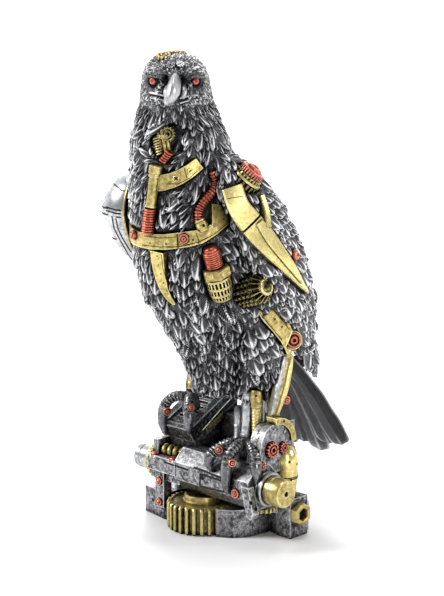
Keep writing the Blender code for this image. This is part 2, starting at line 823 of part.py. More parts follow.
def eagle(cutters, hollows):
    form = eagle_form()
    surface = BVHTree.FromPolygons([v.co for v in form.data.vertices],
                                   [tuple(p.vertices) for p in form.data.polygons])
    points, faces = [], []
    for shape_points, shape_faces in cutters:
        start = len(points)
        points.extend(shape_points)
        faces.extend(tuple(start + i for i in face) for face in shape_faces)
    fittings = BVHTree.FromPolygons(points, faces)
    carving = []
    rows = body_rows()
    for side in (1, -1):
        rows += wing_rows(side) + thigh_rows(side)
        carving.extend(primaries(side))
        carving.extend(leg_shapes(side))
        carving.extend(foot_shapes(side))
    for starts, way, length, width, blunt, skip in rows:
        carving.extend(feathers_on(surface, fittings, starts, way, length * SHARE, width * SHARE,
                                   FEATHER_RISE, blunt, skip))
    carving.extend(tail_shapes())
    carving.append(beak_shape())
    body = [tuple(v.co) for v in form.data.vertices], [tuple(p.vertices) for p in form.data.polygons]
    bpy.data.objects.remove(form, do_unlink=True)
    made = mesh_object("eagle", [body, *carving])
    remeshed(made, CARVING_VOXEL)
    keep_largest(made)
    thinned(made, CARVED_TRIANGLES)
    combine(made, cutters + hollows, "DIFFERENCE", folds=True)
    keep_largest(made)
    made.modifiers.new("triangles", "TRIANGULATE")
    freeze(made)
    dress(made, "silver_feathers", 30)
    return made


# Fittings. Each maker returns rows of (name, finish, shapes, sockets). Sockets are the simpler shapes that
# neighbours are cut with, or None where the shapes themselves serve.


def trunk_line(places, count, proud=0.0):
    """A line laid on the trunk through (heading, height), with the outward way at each point."""
    through = [trunk_point(heading, height, proud) for heading, height in places]
    line = curve_points(through, count)
    ways = []
    for k in range(count):
        t = k / (count - 1) * (len(places) - 1)
        n = min(int(t), len(places) - 2)
        ways.append(trunk_way(places[n][0] + (places[n + 1][0] - places[n][0]) * (t - n)))
    return line, ways


def band(line, ways, width_at, thickness, sink=0.45):
    """A flat band along a line, sunk into what it lies on by a share of its thickness."""
    middle = [p + w * (thickness * (0.5 - sink)) for p, w in zip(line, ways)]
    halves = [(thickness / 2, width_at(k / (len(line) - 1)) / 2) for k in range(len(line))]
    return sweep(middle, halves, outward=ways, flat=True)


def breast_fittings():
    rows = []
    for name, heading, height in (("strap_rivet", 38, 192.5), ("strap_end_rivet", -19, 192.0)):
        spot = trunk_point(heading, height, 2.4)
        rows.append(bolt_row(name, spot, trunk_way(heading), 2.9 * MM, 1.9 * MM))
    hose = [(80, 231), (81, 224), (73, 218.5), (63, 213.5), (57, 208.3), (55, 203.5)]
    line, ways = trunk_line(hose, 9, 2.0)
    rows.append(("breast_hose", "copper", [sweep(line, [HOSE_RADIUS] * 9, 6)], None))
    spout = [trunk_point(55, 203, 2.4), trunk_point(57, 196.5, 3.0)]
    profile = [(2.9 * MM, 0), (3.4 * MM, 1.5 * MM), (3.4 * MM, 4 * MM), (2.6 * MM, 6.5 * MM)]
    rows.append(("hose_fitting", "brass", [turned(spout[0], spout[1] - spout[0], profile, 8)], None))
    coil_top, coil_foot = trunk_point(8, 209.5, 1.6), trunk_point(4, 194.5, 2.4)
    coil = ridged(coil_top, coil_foot, POST_COIL_RADIUS * 0.84, POST_COIL_RADIUS, 4, 7)
    rows.append(("post_coil", "copper", [coil], [rod(coil_top, coil_foot, POST_COIL_RADIUS, 7)]))
    post_top, post_foot = trunk_point(16, 234.5, 1.0), trunk_point(8.4, 210.2, 1.6)
    length = (post_foot - post_top).length
    profile = [(3.9 * MM, 0), (3.9 * MM, 5 * MM), (POST_RADIUS, 6 * MM), (POST_RADIUS, length)]
    rows.append(("breast_post", "brass", [turned(post_top, post_foot - post_top, profile, 8)], None))
    line, ways = trunk_line([(17, 224.5), (26, 225), (38, 227), (47, 229.5), (55, 232), (66, 236)], 7)
    rows.append(("upper_strap", "brass", [band(line, ways, lambda t: UPPER_STRAP_WIDTH * (1 - 0.25 * t),
                                               STRAP_THICKNESS)], None))
    places = [(-52, 195), (-38, 192), (-24, 190.5), (-6, 189.6), (12, 189.5), (27, 190.7), (38, 192),
              (49, 193),
              (64, 197), (84, 203)]
    line, ways = trunk_line(places, 11)
    strap = band(line, ways, lambda t: STRAP_WIDTH * (1 - 0.45 * max(0.0, t - 0.75) / 0.25),
                 STRAP_THICKNESS)
    corners = [(63, 198), (84, 202), (84, 211), (71, 212.5)]
    outline = [trunk_point(h, z, -0.6) for h, z in corners]
    plate = prism(outline, trunk_way(75) * (3.4 * MM))
    rows.append(("lower_strap", "brass", [strap, plate], None))
    line, ways = trunk_line([(10, 184), (8, 175), (8, 166), (9, 158.5), (13, 151.5)], 7)
    rows.append(("keel_plate", "brass", [band(line, ways, lambda t: KEEL_WIDTH * (1 - 0.8 * t * t),
                                              STRAP_THICKNESS, 0.4)], None))
    return rows


def neck_fittings():
    way = trunk_way(28)
    rows = []
    start, end = trunk_point(22, 236.5, -1.0), trunk_point(33, 242.5, -0.5)
    rows.append(("neck_coil", "copper", [ridged(start, end, 1.9 * MM, 2.5 * MM, 3, 6)],
                 [rod(start, end, 2.5 * MM, 6)]))
    centre = trunk_point(32, 252.5, -6.0)
    wheel = gear(centre, way, 4.6 * MM, 9, 3.4 * MM, 0.2)
    rows.append(("neck_gear", "brass", [wheel], [drum(centre, way, 4.6 * MM, 3.4 * MM, 10)]))
    start, end = trunk_point(11, 251, -4.0), trunk_point(16, 240.5, -4.0)
    coil = ridged(start, end, 2.2 * MM, 2.8 * MM, 3, 6)
    rows.append(("neck_spring", "dark_iron", [coil], [rod(start, end, 2.8 * MM, 6)]))
    start, end = trunk_point(21, 256, -3.6), trunk_point(25, 241, -4.2)
    rows.append(("neck_rod", "brass", [rod(start, end, 1.5 * MM, 6)], None))
    return rows


def neck_hollow():
    """The opening in the front of the neck, as a cutter."""
    outline = [trunk_point(h, z, 6.0) for h, z in ((45, 260), (24, 257.5), (11, 252), (9, 240),
                                                   (26, 235.5), (46, 243),
                                                   (50, 253))]
    way = -trunk_way(28)
    return prism(outline, way * (15 * SHARE))


def eye_hollows():
    """The sockets round the eyes, as cutters."""
    cuts = []
    for side in (-1, 1):
        spot = head_point(side * 11.4, 17.5, 283)
        way = (head_point(side * 0.45, 1, 0) - head_point(0, 0, 0)).normalized()
        cuts.append(turned(spot, way, [(2.2 * SHARE, 0), (3.6 * SHARE, 2.4 * SHARE), (6.2 * SHARE, 9 * SHARE)], 8))
    return cuts


def head_fittings():
    rows = []
    for name, side in (("left_eye", 1), ("right_eye", -1)):
        spot = head_point(side * 11.4, 20.5, 283.2)
        way = (head_point(side * 0.45, 1, 0) - head_point(0, 0, 0)).normalized()
        profile = [(EYE_RADIUS, -4 * MM), (EYE_RADIUS, 1.2 * MM), (EYE_RADIUS * 0.6, 2.0 * MM)]
        rows.append((name, "copper", [turned(spot, way, profile, 10)], None))
    lean = Z_AXIS * 0.9 + (head_point(0, 1, 0) - head_point(0, 0, 0)).normalized() * 0.4
    for name, right, ahead, height, radius, teeth in (("crown_gear_front", -6.5, 9.0, 296.8, 4.4, 9),
                                                     ("crown_gear_top", 1.0, 1.5, 299.0, 5.4, 11)):
        centre = head_point(right, ahead, height)
        way = lean.normalized() if name == "crown_gear_front" else (Z_AXIS + lean * 0.15).normalized()
        wheel = gear(centre - way * (1.5 * MM), way, radius * MM, teeth, 3.3 * MM, 0.2)
        rows.append((name, "brass", [wheel], [drum(centre - way * (1.5 * MM), way, radius * MM, 3.3 * MM)]))
    return rows


BLADE_LINE = (
    ((45.5, -37.5, 223), (0.72, -0.66, 0.1), 6.0), ((48.5, -34.5, 211), (0.8, -0.58, 0.1), 6.4),
    ((52.0, -26.5, 200), (0.93, -0.36, 0.0), 7.4), ((55.0, -17.0, 189), (1.0, -0.1, 0.0), 7.2),
    ((55.5, -7.0, 179.5), (0.99, 0.12, 0.0), 6.2), ((53.5, 5.5, 169.5), (0.95, 0.3, 0.0), 4.8),
    ((46.5, 26.5, 153.5), (0.92, 0.4, 0.0), 0.8),
)


def blade_part(start, end, count):
    """The stretch of the wing's blade between two shares of its length."""
    line = curve_points([at(*p) for p, _, _ in BLADE_LINE], 61)
    spans = len(BLADE_LINE) - 1
    points, ways, halves = [], [], []
    for k in range(count):
        share = start + (end - start) * k / (count - 1)
        points.append(line[round(share * 60)])
        t = share * spans
        n = min(int(t), spans - 1)
        low, high = BLADE_LINE[n], BLADE_LINE[n + 1]
        ways.append(Vector(low[1]).lerp(Vector(high[1]), t - n).normalized())
        halves.append((BLADE_THICKNESS / 2, (low[2] + (high[2] - low[2]) * (t - n)) * SHARE))
    return sweep(points, halves, outward=ways, flat=True)


def wing_fittings():
    rows = []
    roller = at(51.5, 9, 179)
    way = Vector((0.92, 0.36, 0.15)).normalized()
    rows.append(("wing_roller", "copper", [turned(roller, way, [(3.2 * MM, -2 * MM), (3.2 * MM, 2.2 * MM),
                                                               (2.2 * MM, 3.4 * MM)], 10)], None))
    axis = Vector((0.55, 0.35, 0.74)).normalized()
    ring = at(43.5, -23.5, 227)
    cap = [(7.4 * MM, 3.4 * MM), (7.4 * MM, 6.6 * MM), (5.2 * MM, 8.4 * MM), (2.0 * MM, 9.0 * MM)]
    rows.append(("shoulder_cap", "copper", [turned(ring, axis, cap, 12)], None))
    steps = [(SHOULDER_GEAR_RADIUS, 0), (SHOULDER_GEAR_RADIUS, 1.2 * MM), (8.6 * MM, 1.3 * MM),
             (8.6 * MM, 3.1 * MM)]
    rows.append(("shoulder_ring", "brass", [turned(ring, axis, steps, 12)],
                 [drum(ring, axis, SHOULDER_GEAR_RADIUS, 3.1 * MM)]))
    low = ring - axis * (4.4 * MM)
    wheel = gear(low, axis, SHOULDER_GEAR_RADIUS, SHOULDER_GEAR_TEETH, 4.0 * MM, 0.2)
    rows.append(("shoulder_gear", "dark_iron", [wheel], [drum(low, axis, SHOULDER_GEAR_RADIUS, 4.0 * MM)]))
    rows.append(("wing_plate", "brass", [blade_part(0.0, 0.30, 5)], None))
    strip_line = curve_points([at(51.5, -19.5, 217), at(54.5, -18.5, 208), at(56.3, -19, 199)], 4)
    strip = sweep(strip_line, [(1.8 * MM, 1.9 * MM), (1.8 * MM, 2.2 * MM), (1.8 * MM, 2.4 * MM),
                               (1.6 * MM, 2.4 * MM)],
                  outward=[X_AXIS] * 4, flat=True)
    rows.append(("wing_blade", "brass", [blade_part(0.315, 1.0, 10), strip], None))
    return rows


def valve_fittings():
    """Copper coil, brass nut and ribbed cage, one under the other at the eagle's left side."""
    top, foot = trunk_point(57, 187.5, 2.0), trunk_point(59, 152, 0.5)
    axis = (foot - top).normalized()
    dome = [(2.6 * MM, 0), (4.6 * MM, 1.6 * MM)]
    step = 2.7 * MM
    for k in range(4):
        dome.append((VALVE_COIL_RADIUS, 1.8 * MM + step * (k + 0.2)))
        dome.append((VALVE_COIL_RADIUS * 0.86, 1.8 * MM + step * (k + 0.9)))
    coil = turned(top, axis, dome, 8)
    rows = [("valve_coil", "copper", [coil], [turned(top, axis,
                                                     [(2.6 * MM, 0), (VALVE_COIL_RADIUS, 1.8 * MM),
                                                                 (VALVE_COIL_RADIUS, 12.75 * MM)], 8)])]
    nut = turned(top + axis * (13.2 * MM), axis, [(VALVE_NUT_RADIUS, 0), (VALVE_NUT_RADIUS, 6.6 * MM)], 6)
    cage = [(VALVE_CAGE_RADIUS, 6.0 * MM)]
    for k in range(2):
        cage.append((VALVE_CAGE_RADIUS * (1.0 - 0.06 * k), (8.0 + 6.0 * k) * MM))
        cage.append((VALVE_CAGE_RADIUS * (0.84 - 0.06 * k), (8.4 + 6.0 * k) * MM))
        cage.append((VALVE_CAGE_RADIUS * (0.84 - 0.06 * k), (11.6 + 6.0 * k) * MM))
        cage.append((VALVE_CAGE_RADIUS * (0.98 - 0.06 * k), (12.0 + 6.0 * k) * MM))
    cage.append((VALVE_CAGE_RADIUS * 0.7, 21.5 * MM))
    rows.append(("valve_cage", "brass", [nut, turned(top + axis * (13.2 * MM), axis, cage, 9)],
                 [nut, turned(top + axis * (13.2 * MM), axis,
                              [(VALVE_CAGE_RADIUS, 6 * MM), (VALVE_CAGE_RADIUS, 17 * MM),
                                                              (VALVE_CAGE_RADIUS * 0.75, 21.6 * MM)], 9)]))
    return rows


def hip_fittings():
    """The bevel gear and its pinion on one shaft, low on the left side."""
    axis = Vector((0.94, 0.0, 0.3)).normalized()
    face = at(51, -15, 162.5)
    u, v = across(axis)
    teeth = BEVEL_TEETH
    rings = []
    for reach, depth in ((1.0, -9.5), (1.0, -7.5), (0.56, 0.0)):
        ring = []
        for k in range(teeth):
            for share, drop in ((0.0, 0.78), (0.5, 1.0)):
                angle = 2 * math.pi * (k + share) / teeth
                ring.append(face + axis * (depth * MM) + (u * math.cos(angle) + v * math.sin(angle))
                            * (BEVEL_RADIUS * reach * drop))
        rings.append(ring)
    bevel = loft(rings)
    if volume(bevel) < 0:
        bevel = inside_out(bevel)
    reach = BEVEL_RADIUS / math.cos(math.pi / 14)
    cone = turned(face, axis, [(reach, -9.5 * MM), (reach, -7.5 * MM), (reach * 0.56, 0.0)], 14)
    hub = turned(face, axis, [(BEVEL_RADIUS * 0.36, -1 * MM), (BEVEL_RADIUS * 0.36, 1.2 * MM)], 10)
    low = face - axis * (19.5 * MM)
    pinion = gear(low, axis, PINION_RADIUS, PINION_TEETH, 9.4 * MM, 0.24)
    return [
        ("bevel_gear", "brass", [bevel, hub], [cone, hub]),
        ("hip_pinion", "dark_iron", [pinion], [drum(low, axis, PINION_RADIUS, 9.4 * MM)]),
    ]


def leg_fittings():
    rows = []
    rows.append(bolt_row("shin_ring", at(42.2, 13.6, 87), Vector((0.95, -0.3, 0))))
    centre = at(40.5, 19.6, 124)
    way = Vector((0.9, -0.42, 0.1)).normalized()
    rise = KNEE_WHEEL_THICKNESS
    profile = [(KNEE_WHEEL_RADIUS, -1 * MM), (KNEE_WHEEL_RADIUS, rise - 1 * MM),
               (KNEE_WHEEL_RADIUS * 0.75, rise),
               (KNEE_WHEEL_RADIUS * 0.4, rise - 1.5 * MM)]
    socket = drum(centre - way * (1 * MM), way, KNEE_WHEEL_RADIUS, rise + 1 * MM)
    rows.append(("knee_wheel", "copper", [turned(centre, way, profile, 12)], [socket]))
    outer = [Vector((0.8, -0.55, 0.2)), Vector((0.95, -0.25, 0.1)), Vector((0.97, -0.15, 0.05)),
             Vector((0.97, -0.15, 0))]
    line = curve_points([at(40, -5, 150), at(43, 3.5, 138), at(42.5, 13, 126), at(42, 17, 116.5)], 6)
    ways = [outer[min(3, k * 4 // 6)] for k in range(6)]
    halves = [(THIGH_PLATE_THICKNESS / 2, w * SHARE) for w in (6.4, 6.6, 6.2, 5.4, 4.4, 3.4)]
    rows.append(("thigh_plate", "brass", [sweep(line, halves, outward=ways, flat=True)], None))
    line = curve_points([at(41.3, 15.6, 115.2), at(41, 11.5, 100), at(40, 8, 88), at(38.5, 1, 67.5)], 7)
    ways = [Vector((0.86, -0.5, 0))] * 7
    halves = [(SHIN_THICKNESS / 2, w * SHARE) for w in (3.8, 4.6, 5.0, 5.2, 4.6, 3.2, 1.2)]
    rows.append(("shin_blade", "brass", [sweep(line, halves, outward=ways, flat=True)], None))
    profile = [(2.2 * MM, 0), (3.7 * MM, 2 * MM), (3.7 * MM, 9.4 * SHARE), (LEG_PIPE_RADIUS, 10 * SHARE),
               (LEG_PIPE_RADIUS, 31 * SHARE)]
    top = at(31.5, -1.8, 95)
    rows.append(("leg_pipe", "brass", [turned(top, Vector((0.02, 0.0, -1)), profile, 8)], None))
    ankle = foot_of(-1)["ankle"]
    high = ankle + Vector((-0.5, 3, 13)) * SHARE
    profile = [(2.6 * SHARE, 0), (3.6 * SHARE, 2 * SHARE), (3.6 * SHARE, 6 * SHARE),
               (2.8 * SHARE, 10.5 * SHARE)]
    rows.append(("right_shin", "brass", [turned(high, ankle - high, profile, 8)], None))
    return rows


def toe_bosses():
    """The round copper joints on the toes."""
    rows = []
    view = Vector((0.62, -0.72, 0.3)).normalized()
    for name, place in (("left_toe_boss_1", (19.0, -23.5, 58.6)), ("left_toe_boss_2", (29.5, -23.0, 52.0)),
                        ("right_toe_boss_1", (-31.8, -17.0, 71.0)), ("right_toe_boss_2",
                                                                     (-13.0, -14.0, 77.4))):
        rows.append(bolt_row(name, at(*place), view, 2.6 * MM, 1.6 * MM))
    return rows


def armour():
    """The polished shell over the right shoulder: a dome that is open on the side towards the breast."""
    sections = ((227.5, -36, -33, 5), (222.5, -37.5, -34.5, 13.5), (214, -39, -35.5, 18.8),
                (202, -40, -36, 20.5),
                (189, -40.5, -33.8, 17.8), (177, -41.5, -30, 13.2), (165, -42, -25, 5))
    start, end, steps = math.radians(-62), math.radians(-232), 8
    inner, outer = [], []
    for height, x, y, radius in sections:
        low, high = [], []
        for k in range(steps):
            angle = start + (end - start) * k / (steps - 1)
            way = Vector((math.cos(angle), math.sin(angle), 0))
            high.append(at(x, y, height) + way * (radius * SHARE))
            low.append(at(x, y, height) + way * (max(radius * SHARE - ARMOUR_THICKNESS,
                                                     radius * SHARE * 0.35)))
        outer.append(high)
        inner.append(low)
    rows, columns = len(sections), steps
    points = [p for ring in outer for p in ring] + [p for ring in inner for p in ring]
    shift = rows * columns
    faces = []
    for r in range(rows - 1):
        for c in range(columns - 1):
            a, b = r * columns + c, (r + 1) * columns + c
            faces.append((a, a + 1, b + 1, b))
            faces.append((shift + a, shift + b, shift + b + 1, shift + a + 1))
    for c in range(columns - 1):
        a, b = c, (rows - 1) * columns + c
        faces.append((a + 1, a, shift + a, shift + a + 1))
        faces.append((b, b + 1, shift + b + 1, shift + b))
    for r in range(rows - 1):
        a, b = r * columns, (r + 1) * columns
        faces.append((a, b, shift + b, shift + a))
        a, b = a + columns - 1, b + columns - 1
        faces.append((b, a, shift + a, shift + b))
    made = (points, faces)
    return made if volume(made) > 0 else inside_out(made)


def armour_bulge():
    """The shoulder under the armour, which fills it."""
    rings = []
    for height, x, y, radius in ((225, -36, -32, 6), (217, -38, -34, 15), (209, -39, -35, 18.6),
                                 (200, -39.5, -35, 19),
                                 (190, -40, -33, 17), (180, -40, -29, 13.5), (168, -40, -24, 8)):
        rings.append([at(x + radius * math.cos(2 * math.pi * k / 16),
                         y + radius * math.sin(2 * math.pi * k / 16), height)
                      for k in range(16)])
    made = loft(rings)
    return made if volume(made) > 0 else inside_out(made)


# The plinth.


def block_shapes():
    """What the engine block is fused from."""
    shapes = []
    foot = [Vector(p) * MM for p in ((-54.5, -17, 0), (-33, -20, 0), (16, -20, 0), (24, -15, 0),
                                     (30, -6, 0), (31.5, 11, 0),
                                     (42, 10.5, 0), (50, 12.5, 0), (51, 24, 0), (44, 34, 0), (30, 38,
                                                                                              0), (-36, 38,
                                                                                                   0),
                                     (-49, 28, 0))]
    shapes.append(prism(foot, Z_AXIS * BASE_HEIGHT))
    body = [(-46, BLOCK_FRONT / MM), (31, BLOCK_FRONT / MM), (41, 8), (39, 27), (30, BLOCK_BACK / MM),
            (-38, BLOCK_BACK / MM),
            (-46, 28)]
    shapes.append(prism([Vector((x * MM, y * MM, BASE_HEIGHT - 3 * MM)) for x, y in body],
                        Z_AXIS * (BLOCK_TOP - BASE_HEIGHT + 3 * MM)))
    middle = Vector((BARREL_LEFT, BARREL_Y, BARREL_HEIGHT))
    reach = BARREL_RADIUS / math.cos(math.pi / 8)
    shapes.append(turned(middle, X_AXIS, [(reach, 0), (reach, BARREL_RIGHT - BARREL_LEFT)], 8, Z_AXIS))
    # The cradle at the barrel's left end, with its rail in front, and the post under it.
    deep = -CRADLE_FRONT + BLOCK_FRONT + 1 * MM
    wide = BARREL_LEFT - CRADLE_LEFT + 2 * MM
    shapes.append(box(Vector((CRADLE_LEFT, CRADLE_FRONT + 3 * MM, CRADLE_FLOOR - 6 * MM)), X_AXIS * wide,
                      Y_AXIS * (deep - 3 * MM), Z_AXIS * (12 * MM)))
    shapes.append(box(Vector((CRADLE_LEFT, CRADLE_FRONT, CRADLE_FLOOR)), X_AXIS * (wide - 1 * MM),
                      Y_AXIS * RAIL_DEPTH,
                      Z_AXIS * RAIL_HEIGHT))
    shapes.append(box(Vector((CRADLE_LEFT, -9 * MM, CRADLE_FLOOR)), X_AXIS * wide, Y_AXIS * (13 * MM),
                      Z_AXIS * (19 * MM)))
    shapes.append(box(Vector((CRADLE_LEFT, -19 * MM, CRADLE_FLOOR)), X_AXIS * (4.5 * MM),
                      Y_AXIS * (14 * MM),
                      Z_AXIS * (19 * MM)))
    shapes.append(box(Vector((-37.5, -23.5, 9)) * MM, X_AXIS * (8 * MM), Y_AXIS * (7 * MM),
                      Z_AXIS * (25 * MM)))
    shapes.append(box(Vector((-13, 13, 44)) * MM, X_AXIS * (45 * MM), Y_AXIS * (20 * MM),
                      Z_AXIS * (25 * MM)))
    # The wedge that carries the grille box.
    along, wide_way, up = box_axes()
    start = GRILLE_BOX_LOW + X_AXIS * (3 * MM)
    side = [start + along * (4 * MM) + up * (-0.2 * MM),
            start + along * (GRILLE_BOX_LENGTH - 4 * MM) + up * (-0.2 * MM)]
    outline = [side[0], side[1], Vector((side[1].x, side[1].y, 44 * MM)),
               Vector((side[0].x, side[0].y, 44 * MM))]
    shapes.append(prism(outline, X_AXIS * (GRILLE_BOX_WIDTH - 6 * MM)))
    # The gear case beside the left foot.
    case = []
    for k in range(9):
        angle = math.pi * k / 8
        case.append(CASE_AXIS + Vector((CASE_LEFT, math.cos(angle) * CASE_RADIUS,
                                        math.sin(angle) * CASE_RADIUS)))
    case += [Vector((CASE_LEFT, -14.5 * MM, 54 * MM)), Vector((CASE_LEFT, -14.5 * MM, 44 * MM)),
             Vector((CASE_LEFT, 14.5 * MM, 44 * MM))]
    shapes.append(prism(case, X_AXIS * (CASE_RIGHT - CASE_LEFT)))
    # The collar of the end cap, the hanging arm and the housing of the hex nut.
    collar = CAP_AXIS + X_AXIS * (BARREL_RIGHT - 1 * MM)
    shapes.append(turned(collar, X_AXIS, [(CAP_COLLAR_RADIUS, 0),
                                          (CAP_COLLAR_RADIUS, 1 * MM + CAP_COLLAR_LENGTH)], 14))
    arm = [Vector(p) * MM for p in ((41.5, -25.5, 40), (47.5, -25.5, 40), (52, -25.5, 24),
                                    (50, -25.5, 20.5),
                                    (46.5, -25.5, 21.5))]
    shapes.append(prism(arm, Y_AXIS * (5 * MM)))
    shapes.append(box(Vector((39, 9, 0)) * MM, X_AXIS * (12 * MM), Y_AXIS * (16 * MM),
                      Z_AXIS * (25.5 * MM)))
    return shapes


def plinth_fittings():
    rows = []
    front = Vector((0, -1, 0))
    for name, place, way in (("barrel_bolt", (36, -24, 34), front),
                             ("post_bolt_high", (-33.5, -23.5, 26.5), front),
                             ("post_bolt_low", (-33.5, -23.5, 12.5), front), ("rail_screw_left",
                                                                              (-39, -22, 43), Z_AXIS),
                             ("rail_screw_right", (-22, -22, 43), Z_AXIS), ("case_screw",
                                                                            (45.5, -10.8, 50.4), X_AXIS)):
        big = 3.0 * MM if name == "barrel_bolt" else 2.5 * MM
        rows.append(bolt_row(name, Vector(place) * MM, way, big))
    start, end = Vector((-38.5, -14.4, 44.6)) * MM, Vector((-20.2, -14.4, 44.6)) * MM
    spring = ridged(start, end, SPRING_RADIUS * 0.72, SPRING_RADIUS, SPRING_RIDGES, 8, 0.8 * MM)
    rows.append(("cradle_spring", "brass", [spring], [rod(start, end, SPRING_RADIUS, 8)]))
    knob = KNOB_AXIS + X_AXIS * (CRADLE_LEFT - KNOB_COLLAR_LENGTH - 3 * FIT_GAP)
    profile = [(KNOB_RADIUS * 0.86, -KNOB_LENGTH), (KNOB_RADIUS, -KNOB_LENGTH + 1.4 * MM), (KNOB_RADIUS, 0)]
    rows.append(("knob", "polished_silver", [turned(knob, X_AXIS, profile, 14)], None))
    collar = KNOB_AXIS + X_AXIS * (CRADLE_LEFT - KNOB_COLLAR_LENGTH - 1.5 * FIT_GAP)
    rows.append(("knob_collar", "brass", [turned(collar, X_AXIS, [(KNOB_COLLAR_RADIUS, 0),
                                                                 (KNOB_COLLAR_RADIUS,
                                                                  KNOB_COLLAR_LENGTH)], 16)], None))
    cap = CAP_AXIS + X_AXIS * (BARREL_RIGHT + CAP_COLLAR_LENGTH + 1.5 * FIT_GAP)
    profile = [(CAP_RADIUS, 0), (CAP_RADIUS, CAP_LENGTH - 0.8 * MM), (CAP_RADIUS * 0.92, CAP_LENGTH),
               (1.6 * MM, CAP_LENGTH), (1.4 * MM, CAP_LENGTH - 1.4 * MM)]
    rows.append(("end_cap", "brass", [turned(cap, X_AXIS, profile, 14)], None))
    wheel = gear(DRIVE_GEAR_AT, Z_AXIS, DRIVE_GEAR_RADIUS, DRIVE_GEAR_TEETH, DRIVE_GEAR_HEIGHT, 0.13,
                 SQUARE_TOOTH)
    hub_top = DRIVE_GEAR_AT + Z_AXIS * (DRIVE_GEAR_HEIGHT - 1 * MM)
    hub = turned(hub_top, Z_AXIS, [(DRIVE_GEAR_HUB, 0), (DRIVE_GEAR_HUB,
                                                         1 * MM + DRIVE_GEAR_HUB_RISE * 0.7),
                                   (DRIVE_GEAR_HUB * 0.93, 1 * MM + DRIVE_GEAR_HUB_RISE),
                                   (DRIVE_GEAR_HUB * 0.72, 1 * MM + DRIVE_GEAR_HUB_RISE),
                                   (DRIVE_GEAR_HUB * 0.66, 1 * MM + DRIVE_GEAR_HUB_RISE * 0.4)], 12)
    gap = 0.8 * MM
    well = drum(DRIVE_GEAR_AT - Z_AXIS * (2 * MM), Z_AXIS, DRIVE_GEAR_RADIUS + gap,
                DRIVE_GEAR_HEIGHT + 2 * MM + gap, 20)
    hub_well = drum(hub_top, Z_AXIS, DRIVE_GEAR_HUB + gap, 1 * MM + DRIVE_GEAR_HUB_RISE + gap)
    rows.append(("drive_gear", "brass", [wheel, hub], [well, hub_well]))
    nut = turned(HEX_NUT_AT, X_AXIS, [(HEX_NUT_RADIUS, -1 * MM), (HEX_NUT_RADIUS, HEX_NUT_LENGTH),
                                      (HEX_NUT_RADIUS * 0.5, HEX_NUT_LENGTH), (HEX_NUT_RADIUS * 0.5,
                                                                               1.5 * MM)], 6, Z_AXIS)
    rows.append(("hex_nut", "brass", [nut], None))
    for name, y, z, radius, teeth in (("case_gear_large", -3.2, 59.2, 5.2, 12),
                                      ("case_gear_small", 7.0, 58.8, 3.6, 9)):
        centre = Vector((CASE_RIGHT - 1 * MM, y * MM, z * MM))
        wheel = gear(centre, X_AXIS, radius * MM, teeth, 3.6 * MM, 0.2)
        rows.append((name, "copper", [wheel], [drum(centre, X_AXIS, radius * MM, 3.6 * MM)]))
    rim_outer, rim_inner = [], []
    for k in range(8):
        angle = math.radians(96 - 96 * k / 7)
        way = Vector((0, math.cos(angle), math.sin(angle)))
        rim_outer.append(CASE_AXIS + X_AXIS * (CASE_LEFT + 3 * MM) + way * (CASE_RADIUS + RIM_THICKNESS))
        rim_inner.append(CASE_AXIS + X_AXIS * (CASE_LEFT + 3 * MM) + way * (CASE_RADIUS - 0.6 * MM))
    rows.append(("case_rim", "brass", [prism(rim_outer + rim_inner[::-1],
                                             X_AXIS * (CASE_RIGHT - CASE_LEFT - 1.5 * MM))],
                 None))
    profile = [(CANISTER_RADIUS * 0.8, 0), (CANISTER_RADIUS, 13 * MM), (CANISTER_RADIUS, 23 * MM),
               (CANISTER_RADIUS * 0.8, 30 * MM), (CANISTER_RADIUS * 0.36, 33.5 * MM)]
    rows.append(("canister", "brass", [turned(CANISTER_AT, Z_AXIS, profile, 11)], None))
    segment = gear(Vector((37, -1.5, BASE_HEIGHT / MM + 0.4)) * MM, Z_AXIS, 9 * MM, 14, 3.0 * MM, 0.16)
    rows.append(("small_gear", "brass", [segment], None))
    profile = [(PILLAR_RADIUS, 0), (PILLAR_RADIUS, PILLAR_TOP - PILLAR_AT.z - 5 * MM),
               (PILLAR_RADIUS * 0.8, PILLAR_TOP - PILLAR_AT.z - 2 * MM), (PILLAR_RADIUS * 0.3,
                                                                          PILLAR_TOP - PILLAR_AT.z)]
    rows.append(("pillar", "polished_silver", [turned(PILLAR_AT, Z_AXIS, profile, 12)], None))
    return rows


def grille_box():
    """(shapes, cuts) of the sloping box: side plate, and a sunk face with slots."""
    along, wide, up = box_axes()
    low = GRILLE_BOX_LOW
    shapes = [box(low, along * GRILLE_BOX_LENGTH, wide * GRILLE_BOX_WIDTH, up * GRILLE_BOX_THICKNESS)]
    sunk = low + along * (4 * MM) + wide * (6 * MM) + up * (GRILLE_BOX_THICKNESS - GRILLE_DEPTH * 0.5)
    cuts = [box(sunk, along * (GRILLE_BOX_LENGTH - 8 * MM),
                wide * (GRILLE_BOX_WIDTH - 6 * MM - GRILLE_PLATE),
                up * (5 * MM))]
    for k in range(GRILLE_SLOTS):
        start = low + along * ((12 + 5 * k) * MM) + wide * (8.5 * MM) + up * (GRILLE_BOX_THICKNESS - GRILLE_DEPTH)
        cuts.append(box(start, along * (2.2 * MM), wide * (GRILLE_BOX_WIDTH - 11 * MM - GRILLE_PLATE),
                        up * (5 * MM)))
    return shapes, cuts


# Putting it together.


def bounds(shapes):
    points = [p for shape_points, _ in shapes for p in shape_points]
    low = Vector([min(p[i] for p in points) for i in range(3)])
    high = Vector([max(p[i] for p in points) for i in range(3)])
    return low, high


def touch(first, second):
    (a, b), (c, d) = bounds(first), bounds(second)
    return all(a[i] <= d[i] + FIT_GAP and c[i] <= b[i] + FIT_GAP for i in range(3))


